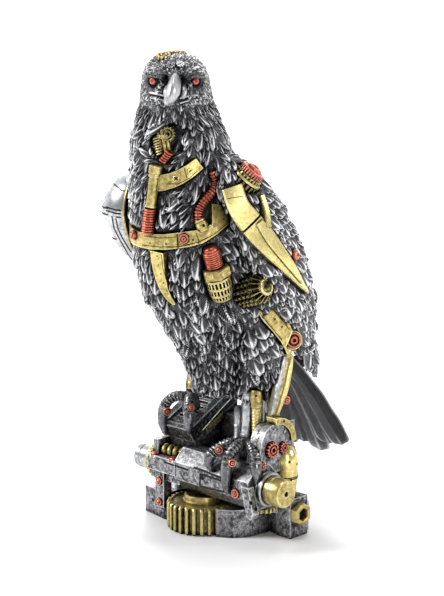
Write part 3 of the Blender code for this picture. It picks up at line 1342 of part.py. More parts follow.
def main():
    clear_scene()
    rows = []
    for group in (toe_bosses, breast_fittings, neck_fittings, head_fittings, wing_fittings, valve_fittings,
                  hip_fittings, leg_fittings):
        rows.extend(group())
    rows.append(("shoulder_armour", "polished_silver", [armour()], None))
    rows.extend(plinth_fittings())
    placed = []
    for name, finish_name, shapes, sockets in rows:
        made = mesh_object(name, shapes[:1])
        combine(made, shapes[1:], "UNION")
        cutters = [grown(s) for s in placed if touch(shapes, [s])]
        combine(made, cutters, "DIFFERENCE")
        flattened(keep_largest(made))
        dress(made, finish_name, 35)
        placed.extend(sockets or shapes)
    box_bodies, box_cuts = grille_box()
    made = mesh_object("grille_box", box_bodies)
    combine(made, box_cuts + [grown(s) for s in placed if touch(box_bodies, [s])], "DIFFERENCE")
    flattened(keep_largest(made))
    dress(made, "dark_iron", 35)
    placed.extend(box_bodies)
    block = block_shapes()
    made = mesh_object("engine_block", block[:1])
    combine(made, block[1:], "UNION")
    combine(made, [grown(s) for s in placed if touch(block, [s])], "DIFFERENCE")
    flattened(keep_largest(made))
    dress(made, "dark_iron", 35)
    placed.extend(block)
    eagle([grown(s) for s in placed], [neck_hollow(), *eye_hollows()])


main()
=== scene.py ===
"""Looks of the steampunk eagle figurine: plumage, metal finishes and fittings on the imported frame."""

import json
import math
from collections import namedtuple

import bmesh
import bpy
import numpy as np
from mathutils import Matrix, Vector
from mathutils.bvhtree import BVHTree

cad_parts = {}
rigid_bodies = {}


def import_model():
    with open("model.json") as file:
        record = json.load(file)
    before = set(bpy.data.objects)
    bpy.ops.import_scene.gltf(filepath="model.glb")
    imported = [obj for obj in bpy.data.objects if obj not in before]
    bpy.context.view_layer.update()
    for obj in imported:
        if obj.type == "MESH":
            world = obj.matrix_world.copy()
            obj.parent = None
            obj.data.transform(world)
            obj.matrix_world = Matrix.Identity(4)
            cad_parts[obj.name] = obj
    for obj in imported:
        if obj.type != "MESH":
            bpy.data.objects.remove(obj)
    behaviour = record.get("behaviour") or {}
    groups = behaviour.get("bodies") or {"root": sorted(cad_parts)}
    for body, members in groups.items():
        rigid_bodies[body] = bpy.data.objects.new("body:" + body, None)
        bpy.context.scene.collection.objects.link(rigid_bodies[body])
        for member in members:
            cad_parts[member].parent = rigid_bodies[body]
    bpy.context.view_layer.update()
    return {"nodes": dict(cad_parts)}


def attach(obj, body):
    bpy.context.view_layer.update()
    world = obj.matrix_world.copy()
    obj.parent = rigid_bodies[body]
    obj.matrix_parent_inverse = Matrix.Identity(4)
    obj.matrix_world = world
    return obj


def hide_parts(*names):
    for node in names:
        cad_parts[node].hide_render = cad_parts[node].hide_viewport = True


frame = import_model()
NODES = frame["nodes"]

MM = 0.001
X_AXIS, Y_AXIS, Z_AXIS = Vector((1, 0, 0)), Vector((0, 1, 0)), Vector((0, 0, 1))
RANDOM = np.random.default_rng(7)

# The skin: the eagle's solid, smoothed where feathers cover it.
SKIN_VOXEL = 1.25 * MM
SKIN_SMOOTHING = 14

# Feathers of each region, in millimetres: length, width, rise of the tip, and how blunt the tip is.
FEATHER_KINDS = {
    "face": (4.6, 3.4, 1.0, 0.5),
    "head": (7.5, 4.6, 1.3, 0.3),
    "chin": (11, 3.8, 2.4, 0.0),
    "neck": (17, 5.6, 3.2, 0.0),
    "lock": (20, 6.6, 3.6, 0.0),
    "breast": (15, 6.6, 3.2, 0.05),
    "belly": (16, 8.2, 3.4, 0.15),
    "thigh": (13, 7.0, 2.8, 0.2),
    "back": (17, 9.8, 2.2, 0.4),
    "covert": (12.5, 9.0, 2.2, 0.75),
    "primary": (22.0, 7.5, 2.0, 0.35),
}
# How much brighter each region is: partly rubbing, and partly painted light and shade (head lit, belly and
# thighs shaded).
KIND_RUB_LIGHT_AND_SHADE = {"face": 0.8, "head": 0.75, "neck": 0.15, "covert": 0.25, "lock": -0.2, "belly": -0.3,
             "thigh": -0.45}
FEATHER_LABELS = ("lift", "along", "aside", "tone")
Feather = namedtuple("Feather", "kind spine length width rise blunt")
SKIN_SAMPLES = 42000
SPREAD_CELL = 9 * MM
FEATHER_ROWS = 9
FEATHER_COLUMNS = 7
SPINE_STEPS = 6
# How a feather varies: its size, the smaller sizes that are tried where it has no room, how far its way strays,
# and how far its root stays from others, along it as a share of its length and across it of its width.
FEATHER_SIZES = (0.85, 1.3)
SMALLER_SIZES = (1.0, 0.72, 0.5)
STRAY, COVERT_STRAY = 0.2, 0.05
APART_ALONG, COVERT_APART_ALONG, APART_ACROSS = 0.5, 0.62, 0.72
SKIRT_SHARE = 0.86

# The camera of the photograph.
CAMERA_HEADING = math.radians(45)
CAMERA_RISE = math.radians(10)
CAMERA_DISTANCE = 0.90
CAMERA_TARGET = Vector((0, 0, 0.15))
FOCAL_PIXELS = 1440.0
FRAME_HEIGHT = 596.0
TARGET_ROW = 294.0
TARGET_COLUMN = 222.0
CAMERA_BACK = Vector((math.sin(CAMERA_HEADING) * math.cos(CAMERA_RISE),
                      -math.cos(CAMERA_HEADING) * math.cos(CAMERA_RISE), math.sin(CAMERA_RISE)))
CAMERA_SIDE = Vector((math.cos(CAMERA_HEADING), math.sin(CAMERA_HEADING), 0))
CAMERA_UP = CAMERA_BACK.cross(CAMERA_SIDE)
CAMERA_AT = CAMERA_TARGET + CAMERA_BACK * CAMERA_DISTANCE

# How finely wheels and springs are drawn, and how steep a tooth's sides are.
TOOTH_STEPS = 8
TOOTH_SLOPE = 0.28
TURN_STEPS = 20


# Meshes: a shape is a pair, its points and its faces.


def smooth_curve(through, count):
    """Points at even steps of parameter along a smooth curve through the given points."""
    spans = len(through) - 1
    made = []
    for n in range(count):
        t = n / (count - 1) * spans
        k = min(int(t), spans - 1)
        f = t - k
        p0, p1, p2, p3 = through[max(k - 1, 0)], through[k], through[k + 1], through[min(k + 2, spans)]
        made.append(0.5 * (2 * p1 + (p2 - p0) * f + (2 * p0 - 5 * p1 + 4 * p2 - p3) * f**2
                           + (3 * p1 - p0 - 3 * p2 + p3) * f**3))
    return made


def smooth_values(values, count):
    """Numbers at even steps along a smooth curve through the given numbers."""
    return [step.x for step in smooth_curve([Vector((value, 0)) for value in values], count)]


def grid_faces(rows, columns):
    """The faces of a grid of points that are numbered row by row."""
    corners = (r * columns + c for r in range(rows - 1) for c in range(columns - 1))
    return [(i, i + 1, i + columns + 1, i + columns) for i in corners]


def grid_rim(rows, columns):
    """The places round the rim of a grid in their order, as (row, column)."""
    rim = [(0, c) for c in range(columns)] + [(r, columns - 1) for r in range(1, rows)]
    rim += [(rows - 1, c) for c in range(columns - 2, -1, -1)]
    return rim + [(r, 0) for r in range(rows - 2, 0, -1)]


def across(axis, hint=None):
    """Two unit vectors across an axis; the second lies as near to the hint as it can."""
    axis = axis.normalized()
    if hint is None or abs(hint.normalized().dot(axis)) > 0.98:
        hint = Z_AXIS if abs(axis.z) < 0.9 else Y_AXIS
    second = (hint - axis * hint.dot(axis)).normalized()
    return second.cross(axis).normalized(), second


def mm(x, y, z):
    return Vector((x, y, z)) * MM


def skinned(rings, closed=True):
    """A shape through rings of the same number of points, with its ends closed."""
    count = len(rings[0])
    points = [Vector(p) for ring in rings for p in ring]
    faces = []
    for k in range(len(rings) - 1):
        for i in range(count):
            j = (i + 1) % count
            low, high = k * count, (k + 1) * count
            faces.append((low + i, low + j, high + j, high + i))
    if closed:
        faces.append(tuple(reversed(range(count))))
        faces.append(tuple(range((len(rings) - 1) * count, len(rings) * count)))
    return facing_out(points, faces)


def facing_out(points, faces):
    """The shape with its faces pointing outwards."""
    total = 0.0
    for face in faces:
        for k in range(1, len(face) - 1):
            total += points[face[0]].dot(points[face[k]].cross(points[face[k + 1]]))
    if total < 0:
        faces = [tuple(reversed(face)) for face in faces]
    return points, faces


def lathed(centre, axis, profile, sides=32, hint=None):
    """A turned shape: the profile is (radius, height along the axis) in millimetres."""
    u, v = across(axis, hint)
    axis = axis.normalized()
    rings = []
    for radius, height in profile:
        rings.append([centre + axis * (height * MM) + (u * math.cos(a) + v * math.sin(a)) * (radius * MM)
                      for a in (2 * math.pi * (i + 0.5) / sides for i in range(sides))])
    return skinned(rings)


def tube(points, radii, sides=12):
    """A round shape along a line, with one radius or one for each point."""
    rings, side = [], None
    for i, point in enumerate(points):
        ahead = points[min(i + 1, len(points) - 1)] - points[max(i - 1, 0)]
        first, side = across(ahead, side)
        radius = radii[i] if isinstance(radii, (list, tuple)) else radii
        rings.append([point + (first * math.cos(a) + side * math.sin(a)) * radius
                      for a in (2 * math.pi * k / sides for k in range(sides))])
    return skinned(rings)


def block(centre, along, wide, up):
    """A box round its centre, from its three half edges."""
    corners = ((-1, -1), (1, -1), (1, 1), (-1, 1))
    return skinned([[centre + up * h + along * a + wide * b for a, b in corners] for h in (-1, 1)])


def toothed(centre, axis, teeth, depth, profile, fullness=0.5):
    """A wheel with teeth: the profile is (radius, height, share of the teeth's depth) in millimetres."""
    u, v = across(axis)
    axis = axis.normalized()
    count = teeth * TOOTH_STEPS
    rings = []
    for radius, height, share in profile:
        ring = []
        for i in range(count):
            angle = 2 * math.pi * (i + 0.5) / count
            from_middle = abs((i % TOOTH_STEPS + 0.5) / TOOTH_STEPS - 0.5) * 2
            gap = min(1.0, max(0.0, (from_middle - fullness) / TOOTH_SLOPE + 0.5))
            reach = radius * MM * (1 - depth * share * gap)
            ring.append(centre + axis * (height * MM) + (u * math.cos(angle) + v * math.sin(angle)) * reach)
        rings.append(ring)
    return skinned(rings)


def helix(start, end, radius, wire, turns):
    """A wire wound round the line from start to end."""
    u, v = across(end - start)
    count = int(turns * TURN_STEPS)
    points = []
    for k in range(count + 1):
        angle = 2 * math.pi * turns * k / count
        points.append(start.lerp(end, k / count) + (u * math.cos(angle) + v * math.sin(angle)) * radius)
    return tube(points, wire, 8)


def ribbon(points, ways, halves, thickness, crown, chamfer):
    """A flat bar along a line, from its outward ways and half widths.

    Thickness, crown (how far its middle stands up) and chamfer are in millimetres.
    """
    rings = []
    deep, crest = thickness * MM / 2, (thickness / 2 + crown) * MM
    for i, point in enumerate(points):
        ahead = (points[min(i + 1, len(points) - 1)] - points[max(i - 1, 0)]).normalized()
        out = (ways[i] - ahead * ways[i].dot(ahead)).normalized()
        side = ahead.cross(out)
        half = halves[i]
        cut = min(chamfer * MM, half * 0.4, deep * 0.5)
        section = ((-half, -deep), (-half, deep - cut), (-half + cut, deep), (0, crest),
                   (half - cut, deep), (half, deep - cut), (half, -deep))
        rings.append([point + side * across_way + out * up for across_way, up in section])
    return skinned(rings)


def linked(name, data):
    """A new object of the scene."""
    made = bpy.data.objects.new(name, data)
    bpy.context.scene.collection.objects.link(made)
    return made


def added(name, mesh, material):
    """A mesh as an object that rides on the frame."""
    made = linked(name, mesh)
    mesh.materials.clear()
    mesh.materials.append(material)
    mesh.shade_smooth()
    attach(made, "root")
    return made


def piece(name, shapes, material, smooth=35, bevel=0.0, replaces=()):
    """The shapes as one object: smooth up to an angle in degrees, and bevelled by some millimetres."""
    points, faces = [], []
    for shape_points, shape_faces in shapes:
        start = len(points)
        points.extend(tuple(p) for p in shape_points)
        faces.extend(tuple(start + i for i in face) for face in shape_faces)
    mesh = bpy.data.meshes.new(name)
    mesh.from_pydata(points, [], faces)
    made = added(name, mesh, material)
    mesh.set_sharp_from_angle(angle=math.radians(smooth))
    if bevel:
        soften(made, bevel)
    if replaces:
        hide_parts(*replaces)
    return made


def soften(made, width):
    """Rounds the edges of an object by some millimetres, so that they catch the light."""
    change = made.modifiers.new("edges", "BEVEL")
    change.width = width * MM
    change.segments = 2
    change.limit_method = "ANGLE"
    change.angle_limit = math.radians(32)
    change.harden_normals = True


# Materials. The figure is a painted casting: a dark wash lies in its hollows, and raised edges are rubbed
# bright. The darkening in hollows is drawn from ambient occlusion, so it is painted shade as well, in corners,
# between parts and under things.


def link(tree, source, socket):
    tree.links.new(source, socket)


def node(tree, kind, **values):
    made = tree.nodes.new(kind)
    for name, value in values.items():
        setattr(made, name, value)
    return made


def ramp(tree, source, low, high):
    """A smooth step from 0 at low to 1 at high."""
    made = node(tree, "ShaderNodeMapRange", interpolation_type="SMOOTHSTEP")
    made.inputs["From Min"].default_value = low
    made.inputs["From Max"].default_value = high
    link(tree, source, made.inputs["Value"])
    return made.outputs["Result"]


def maths(tree, operation, first, second=None):
    made = node(tree, "ShaderNodeMath", operation=operation, use_clamp=operation in ("ADD", "SUBTRACT"))
    for k, value in enumerate((first, second)):
        if value is None:
            continue
        if isinstance(value, (int, float)):
            made.inputs[k].default_value = value
        else:
            link(tree, value, made.inputs[k])
    return made.outputs[0]


def blend(tree, factor, first, second):
    """A mix of two colours, or of a socket and a colour."""
    made = node(tree, "ShaderNodeMix", data_type="RGBA")
    link(tree, factor, made.inputs["Factor"])
    for name, value in (("A", first), ("B", second)):
        socket = [s for s in made.inputs if s.name == name and s.type == "RGBA"][0]
        if isinstance(value, tuple):
            socket.default_value = (*value, 1)
        else:
            link(tree, value, socket)
    return [s for s in made.outputs if s.type == "RGBA"][0]


def noise(tree, scale, detail=3.0, roughness=0.6):
    place = node(tree, "ShaderNodeTexCoord").outputs["Object"]
    made = node(tree, "ShaderNodeTexNoise")
    made.inputs["Scale"].default_value = scale
    made.inputs["Detail"].default_value = detail
    made.inputs["Roughness"].default_value = roughness
    link(tree, place, made.inputs["Vector"])
    return made.outputs["Fac"]


def mixed(tree, *parts):
    """The weighted sum of sockets, from pairs of (socket, weight)."""
    total = None
    for socket, weight in parts:
        share = maths(tree, "MULTIPLY", socket, weight)
        total = share if total is None else maths(tree, "ADD", total, share)
    return total


def edge_wear(tree, radius):
    """1 on sharp edges, 0 on faces."""
    bevel = node(tree, "ShaderNodeBevel", samples=4)
    bevel.inputs["Radius"].default_value = radius
    flat = node(tree, "ShaderNodeNewGeometry")
    turn = node(tree, "ShaderNodeVectorMath", operation="DOT_PRODUCT")
    link(tree, bevel.outputs["Normal"], turn.inputs[0])
    link(tree, flat.outputs["Normal"], turn.inputs[1])
    return ramp(tree, turn.outputs["Value"], 0.99, 0.90)


def openness(tree, reach):
    """How open a place is to the air, within some millimetres, for the wash and painted shade in hollows."""
    made = node(tree, "ShaderNodeAmbientOcclusion", samples=6)
    made.inputs["Distance"].default_value = reach * MM
    return made.outputs["AO"]


def new_paint(name):
    material = bpy.data.materials.new(name)
    material.use_nodes = True
    return material, material.node_tree


def finished_metal(tree, colour, clean_and_unshaded, height, metallic, specular, foul_rough, clean_rough, grain, depth):
    """Wires a metal's colour, its roughness where it is foul and where it is clean, and its grain."""
    shader = tree.nodes["Principled BSDF"]
    link(tree, colour, shader.inputs["Base Color"])
    shader.inputs["Metallic"].default_value = metallic
    shader.inputs["Specular IOR Level"].default_value = specular
    rough = node(tree, "ShaderNodeMapRange")
    rough.inputs["To Min"].default_value = foul_rough
    rough.inputs["To Max"].default_value = clean_rough
    link(tree, clean_and_unshaded, rough.inputs["Value"])
    link(tree, rough.outputs["Result"], shader.inputs["Roughness"])
    bump = node(tree, "ShaderNodeBump")
    bump.inputs["Strength"].default_value = grain
    bump.inputs["Distance"].default_value = depth * MM
    link(tree, height, bump.inputs["Height"])
    link(tree, bump.outputs["Normal"], shader.inputs["Normal"])


def painted_metal(name, wash_and_shade, body, bright, metallic=0.85, roughness=0.36, hollow=2.6, stain=0.5, speckle=0.5,
                  edge=0.45, grain=0.25, painted_top_light=0.0):
    """A casting painted as metal: wash and painted shade in hollows, stains, body on faces, bright where
    rubbed.

    Hollow is how far in millimetres the wash and the painted shade reach out of a corner, edge how wide the
    rubbed edges are, and the last number how much lighter the faces are that look up: painted light from above.
    """
    material, tree = new_paint(name)
    large, medium, fine = noise(tree, 90, 3.0), noise(tree, 420, 4.0, 0.65), noise(tree, 1500, 2.0)
    # Ambient occlusion darkens hollows, corners and places under things: the wash, and painted shade.
    clear_of_wash_and_shade = ramp(tree, mixed(tree, (openness(tree, hollow), 0.85), (medium, 0.25)), 0.5, 0.93)
    grime = maths(tree, "MULTIPLY", ramp(tree, mixed(tree, (large, 0.4), (medium, 0.6)), 0.58, 0.38), stain)
    clean_and_unshaded = maths(tree, "MULTIPLY", clear_of_wash_and_shade, maths(tree, "SUBTRACT", 1.0, grime))
    rubbed = maths(tree, "MULTIPLY", edge_wear(tree, edge * MM), ramp(tree, fine, 0.25, 0.5))
    dabs = maths(tree, "MULTIPLY", ramp(tree, mixed(tree, (fine, 0.55), (medium, 0.45)), 0.5, 0.64), speckle)
    # Painted light from above: faces that look up get lighter patches.
    if painted_top_light:
        facing = node(tree, "ShaderNodeSeparateXYZ")
        link(tree, node(tree, "ShaderNodeNewGeometry").outputs["Normal"], facing.inputs[0])
        upward = maths(tree, "MULTIPLY", ramp(tree, facing.outputs["Z"], 0.1, 0.9), painted_top_light)
        dabs = maths(tree, "MAXIMUM", dabs, maths(tree, "MULTIPLY", upward, ramp(tree, medium, 0.3, 0.6)))
    light = maths(tree, "MULTIPLY", maths(tree, "MAXIMUM", rubbed, dabs), clear_of_wash_and_shade)
    colour = blend(tree, light, blend(tree, clean_and_unshaded, wash_and_shade, body), bright)
    height = mixed(tree, (fine, 0.45), (medium, 0.55))
    finished_metal(tree, colour, clean_and_unshaded, height, metallic, specular=0.3, foul_rough=min(1.0, roughness + 0.3),
                   clean_rough=roughness, grain=grain, depth=0.25)
    return material


def feather_paint(name, wash_and_shade, body, bright):
    """The plumage: wash and painted shade between feathers, with rims, shafts and barbs rubbed silver."""
    material, tree = new_paint(name)
    lift, along, aside, tone = (node(tree, "ShaderNodeAttribute", attribute_name=label).outputs["Fac"]
                                for label in FEATHER_LABELS)
    large, medium, fine = noise(tree, 45, 2.0), noise(tree, 420, 4.0, 0.7), noise(tree, 1600, 2.0, 0.65)
    slant = node(tree, "ShaderNodeMath", operation="SUBTRACT")
    link(tree, maths(tree, "MULTIPLY", along, 70.0), slant.inputs[0])
    link(tree, maths(tree, "MULTIPLY", aside, 16.0), slant.inputs[1])
    wave = maths(tree, "SINE", slant.outputs[0])
    barbs = maths(tree, "ADD", maths(tree, "MULTIPLY", wave, 0.5), 0.5)
    # Ambient occlusion darkens the gaps between feathers: the wash, and painted shade.
    clear_of_wash_and_shade = ramp(tree, openness(tree, 3.5), 0.56, 0.97)
    patches = mixed(tree, (barbs, 0.36), (medium, 0.6), (fine, 0.7), (tone, 0.35), (large, 0.25))
    silver = maths(tree, "MULTIPLY", ramp(tree, maths(tree, "MULTIPLY", lift, patches), 0.47, 0.88), clear_of_wash_and_shade)
    streaks = mixed(tree, (barbs, 0.3), (medium, 0.4), (fine, 0.4), (tone, 0.25), (large, 0.2))
    clean_and_unshaded = maths(tree, "MULTIPLY", clear_of_wash_and_shade, ramp(tree, streaks, 0.4, 1.0))
    colour = blend(tree, silver, blend(tree, clean_and_unshaded, wash_and_shade, body), bright)
    finished_metal(tree, colour, silver, mixed(tree, (barbs, 0.5), (fine, 0.5)), metallic=0.9, specular=0.2,
                   foul_rough=0.5, clean_rough=0.32, grain=0.8, depth=0.35)
    return material


# The paints, each with its colour for wash and painted shade, its body and its bright colour.

FEATHER_PAINT = feather_paint("feather_paint", (0.002, 0.002, 0.003), (0.115, 0.115, 0.12),
                              (0.92, 0.92, 0.94))
SKIN_PAINT = painted_metal("skin_paint", (0.004, 0.004, 0.005), (0.05, 0.05, 0.055), (0.6, 0.6, 0.62),
                           metallic=0.65, roughness=0.45, hollow=6.0, edge=0.3)
# The plinth's iron; its upward faces are lightened a little, as painted light from above.
IRON = painted_metal("iron", (0.004, 0.004, 0.005), (0.25, 0.25, 0.26), (0.92, 0.92, 0.93),
                     metallic=0.9, hollow=6.5, stain=0.8, edge=1.1, painted_top_light=0.1)
# The grille box's iron, darker than the plinth's: painted shade where the bird overhangs it.
SHADED_IRON = painted_metal("shaded_iron", (0.002, 0.002, 0.003), (0.02, 0.02, 0.022), (0.66, 0.66, 0.68),
                      metallic=0.9, roughness=0.4, hollow=3.5, stain=0.6, speckle=0.45, edge=1.3)
# Near black, for the plugs and lines that are painted shade in holes, grooves, slots and sockets.
SHADE_PAINT = painted_metal("dark_iron", (0.001, 0.001, 0.001), (0.005, 0.005, 0.005), (0.03, 0.028, 0.025),
                     metallic=0.5, roughness=0.55, speckle=0.1)
CLAW = painted_metal("claw", (0.004, 0.004, 0.005), (0.032, 0.032, 0.034), (0.90, 0.90, 0.92),
                     hollow=2.4, speckle=0.6, edge=0.8)
TALON = painted_metal("talon", (0.006, 0.006, 0.007), (0.16, 0.16, 0.17), (0.94, 0.94, 0.95),
                      roughness=0.2, hollow=2.2, stain=0.3, speckle=0.25, edge=0.8)
BEAK_PAINT = painted_metal("beak_silver", (0.03, 0.03, 0.03), (0.42, 0.42, 0.43), (0.90, 0.90, 0.91),
                           metallic=0.7, hollow=3.0, stain=0.35, edge=0.6)
BRASS = painted_metal("brass", (0.018, 0.014, 0.004), (0.52, 0.41, 0.14), (0.98, 0.89, 0.46),
                      roughness=0.32, hollow=3.2, speckle=0.35, edge=0.9)
PALE_BRASS = painted_metal("pale_brass", (0.05, 0.04, 0.012), (0.74, 0.62, 0.24), (0.99, 0.93, 0.62),
                           metallic=0.88, roughness=0.24, stain=0.3, speckle=0.3, grain=0.15)
COPPER = painted_metal("copper", (0.04, 0.008, 0.005), (0.62, 0.14, 0.08), (0.97, 0.52, 0.38),
                       roughness=0.28, stain=0.35, speckle=0.35)
GILT = painted_metal("dark_gilt", (0.003, 0.002, 0.001), (0.07, 0.055, 0.018), (0.92, 0.80, 0.36),
                     roughness=0.32, hollow=3.0, stain=0.4, edge=0.7)
SILVER = painted_metal("silver", (0.012, 0.012, 0.013), (0.45, 0.46, 0.47), (0.86, 0.86, 0.87),
                       metallic=0.95, roughness=0.27, stain=0.45, speckle=0.35, grain=0.08)


# The skin and what stands on it.


def vertex_array(mesh):
    found = np.empty(len(mesh.vertices) * 3)
    mesh.vertices.foreach_get("co", found)
    return found.reshape(-1, 3)


EYES = [sum((v.co for v in NODES[n].data.vertices), Vector()) / len(NODES[n].data.vertices)
        for n in ("right_eye", "left_eye")]
EYE_LEVEL = (EYES[0] + EYES[1]) / 2
HEAD_SIDE = (EYES[1] - EYES[0]).normalized()
FACE_WAY = HEAD_SIDE.cross(Z_AXIS).normalized() * (1 if HEAD_SIDE.cross(Z_AXIS).y < 0 else -1)

# The skin's firm parts: below this height, and on the tail and the beak.
FEET_TOP = 92 * MM
TAIL_FROM, TAIL_TOP = 36 * MM, 122 * MM
BEAK_MIDDLE = EYE_LEVEL + FACE_WAY * (14 * MM) - Z_AXIS * (6 * MM)
BEAK_REACH = 15 * MM
FIRM_SHARE, SOFT_SHARE = 0.08, 0.62

# The tail: where it starts, the way in which it lies and the way in which its upper face looks.
TAIL_SLOPE = math.radians(62)
TAIL_ROOT = mm(0, 33, 125)
TAIL_WAY = Vector((0, math.cos(TAIL_SLOPE), -math.sin(TAIL_SLOPE)))
TAIL_OUT = Vector((0, math.sin(TAIL_SLOPE), math.cos(TAIL_SLOPE)))
TAIL_FEATHERS = 7
TAIL_LENGTH = 102 * MM
TAIL_SPREAD = math.radians(20.5)
TAIL_STUB = 32 * MM
TAIL_HALF_WIDTH = 17 * MM
TAIL_FLARE = 0.37

# The feet: where each ankle stands, and its toes as (heading, reach, drop, curl).
TOE_STEPS = 96
LEFT_ANKLE, RIGHT_ANKLE = mm(27, -4, 62), mm(-23, -5, 83)
LEFT_TOES = ((-32, 25, 16, 2), (8, 23, 27, 1), (56, 23, 22, 1), (178, 16, 9, 1))
RIGHT_TOES = ((-46, 18.5, 25, 2), (42, 20, 19, 2))
HIDDEN_TOES = ((-6, 18, 22, 1), (172, 15, 8, 1))

# Where the regions of the plumage meet: heights above the ground, in millimetres.
HEAD_FOOT, NECK_FOOT, COVERT_TOP, LOCK_FOOT = 262, 224, 228, 197
BREAST_FOOT, BELLY_FOOT, THIGH_FOOT, RIGHT_THIGH_FOOT = 178, 132, 90, 111
COVERT_FOOT, PRIMARY_TOP = 112, 139
EYE_CLEARANCE = 6.0 * MM


def eagle_skin():
    """The eagle's solid, remeshed finely and smoothed, except at its feet, beak and tail.

    Its toes, tail and beak are drawn in, under the pieces that are laid over them.
    """
    copy = linked("skin", NODES["eagle"].data.copy())
    change = copy.modifiers.new("remesh", "REMESH")
    change.mode = "VOXEL"
    change.voxel_size = SKIN_VOXEL
    bpy.context.view_layer.update()
    graph = bpy.context.evaluated_depsgraph_get()
    mesh = bpy.data.meshes.new_from_object(copy.evaluated_get(graph))
    bpy.data.objects.remove(copy, do_unlink=True)
    points = vertex_array(mesh)
    edges = np.empty(len(mesh.edges) * 2, int)
    mesh.edges.foreach_get("vertices", edges)
    edges = edges.reshape(-1, 2)
    count = np.bincount(edges.ravel(), minlength=len(points))[:, None]
    firm = (points[:, 2] < FEET_TOP) | ((points[:, 1] > TAIL_FROM) & (points[:, 2] < TAIL_TOP))
    firm |= np.linalg.norm(points - np.array(BEAK_MIDDLE), axis=1) < BEAK_REACH
    share = np.where(firm, FIRM_SHARE, SOFT_SHARE)[:, None]
    for _ in range(SKIN_SMOOTHING):
        total = np.zeros_like(points)
        np.add.at(total, edges[:, 0], points[edges[:, 1]])
        np.add.at(total, edges[:, 1], points[edges[:, 0]])
        points = points + (total / count - points) * share
    for draw_in in (draw_in_toes, draw_in_tail, draw_in_beak):
        draw_in(points)
    mesh.vertices.foreach_set("co", points.ravel())
    mesh.update()
    return mesh


def step_up(values, low, high):
    """A smooth step from 0 at low to 1 at high."""
    share = np.clip((values - low) / (high - low), 0, 1)
    return share * share * (3 - 2 * share)


def toe_line(ankle, heading, reach, drop, curl):
    """The middle line of a toe and its claw: out from the ankle, over a knuckle and down."""
    turn = math.radians(heading)
    way = Vector((math.sin(turn), -math.cos(turn), 0))
    start = ankle - Z_AXIS * (3 * MM)
    return smooth_curve([start, start + way * (reach * 0.45 * MM) + Z_AXIS * (1.5 * MM),
                         start + way * (reach * 0.85 * MM) - Z_AXIS * (3 * MM),
                         start + way * (reach * MM) - Z_AXIS * (drop * 0.55 * MM),
                         start + way * ((reach - curl) * MM) - Z_AXIS * (drop * MM)], TOE_STEPS)


def thinned(points, line, last):
    """Draws the skin round a toe's line in towards it, and back to the line's point with the number last."""
    low = np.flatnonzero(points[:, 2] < FEET_TOP)
    places = np.array([tuple(p) for p in line])
    away = np.linalg.norm(points[low][:, None, :] - places[None], axis=2)
    nearest = away.argmin(axis=1)
    share = step_up(nearest.astype(float), 6, 24) * step_up(-away.min(axis=1), -7.5 * MM, -6 * MM)
    target = places[np.minimum(nearest, last)] + (points[low] - places[nearest]) * 0.5
    points[low] += (target - points[low]) * share[:, None]


def draw_in_toes(points):
    for values in LEFT_TOES:
        thinned(points, toe_line(LEFT_ANKLE, *values), TOE_STEPS - 8)
    for values in RIGHT_TOES + HIDDEN_TOES:
        thinned(points, toe_line(RIGHT_ANKLE, *values), 12)


def draw_in_tail(points):
    """Flattens and narrows the tail, and takes it back to a stub."""
    way, out = np.array(TAIL_WAY), np.array(TAIL_OUT)
    from_root = points - np.array(TAIL_ROOT)
    along, rise = from_root @ way, from_root @ out
    share = step_up(along, 24 * MM, 34 * MM) * step_up(rise, 8 * MM, 5.5 * MM)
    share *= step_up(-rise, 17 * MM, 13 * MM)
    points -= out * (rise * share * 0.5)[:, None]
    spread = np.clip(along, TAIL_STUB, 1)
    half_width = TAIL_HALF_WIDTH + spread * TAIL_FLARE
    stub_half_width = TAIL_HALF_WIDTH + TAIL_STUB * TAIL_FLARE
    points[:, 0] *= 1 - share * (1 - 0.8 * stub_half_width / half_width)
    points -= way * (np.clip(along - TAIL_STUB, 0, 1) * share * 0.93)[:, None]


def draw_in_beak(points):
    """Narrows and shortens the beak, and lifts its tip."""
    face, side = np.array(FACE_WAY), np.array(HEAD_SIDE)
    from_eyes = points - np.array(EYE_LEVEL)
    ahead, right, up = from_eyes @ face, from_eyes @ side, from_eyes[:, 2]
    beak = step_up(ahead, 0.5 * MM, 5 * MM) * step_up(np.abs(right), 9 * MM, 7 * MM)
    beak *= step_up(up, 8 * MM, 3 * MM) * step_up(-up, 24 * MM, 20 * MM)
    points -= side * (right * beak * 0.3)[:, None]
    points -= face * (np.clip(ahead, 0, 1) * beak * 0.30)[:, None]
    points[:, 2] += 3.5 * MM * beak * step_up(-up, 8 * MM, 15 * MM)


SKIN = eagle_skin()
SKIN_TREE = BVHTree.FromPolygons([v.co for v in SKIN.vertices], [tuple(p.vertices) for p in SKIN.polygons])


def fittings_tree():
    """The surface of the fittings, which the feathers keep clear of."""
    points, faces = [], []
    for name, made in NODES.items():
        if name in ("eagle", "engine_block", "left_eye", "right_eye"):
            continue
        start = len(points)
        points.extend(v.co.copy() for v in made.data.vertices)
        faces.extend(tuple(start + i for i in p.vertices) for p in made.data.polygons)
    return BVHTree.FromPolygons(points, faces)


FITTINGS = fittings_tree()


def wing_way(side):
    """The way in which a folded wing's feathers lie."""
    return Vector((side * -0.10, 0.60, -0.79)).normalized()


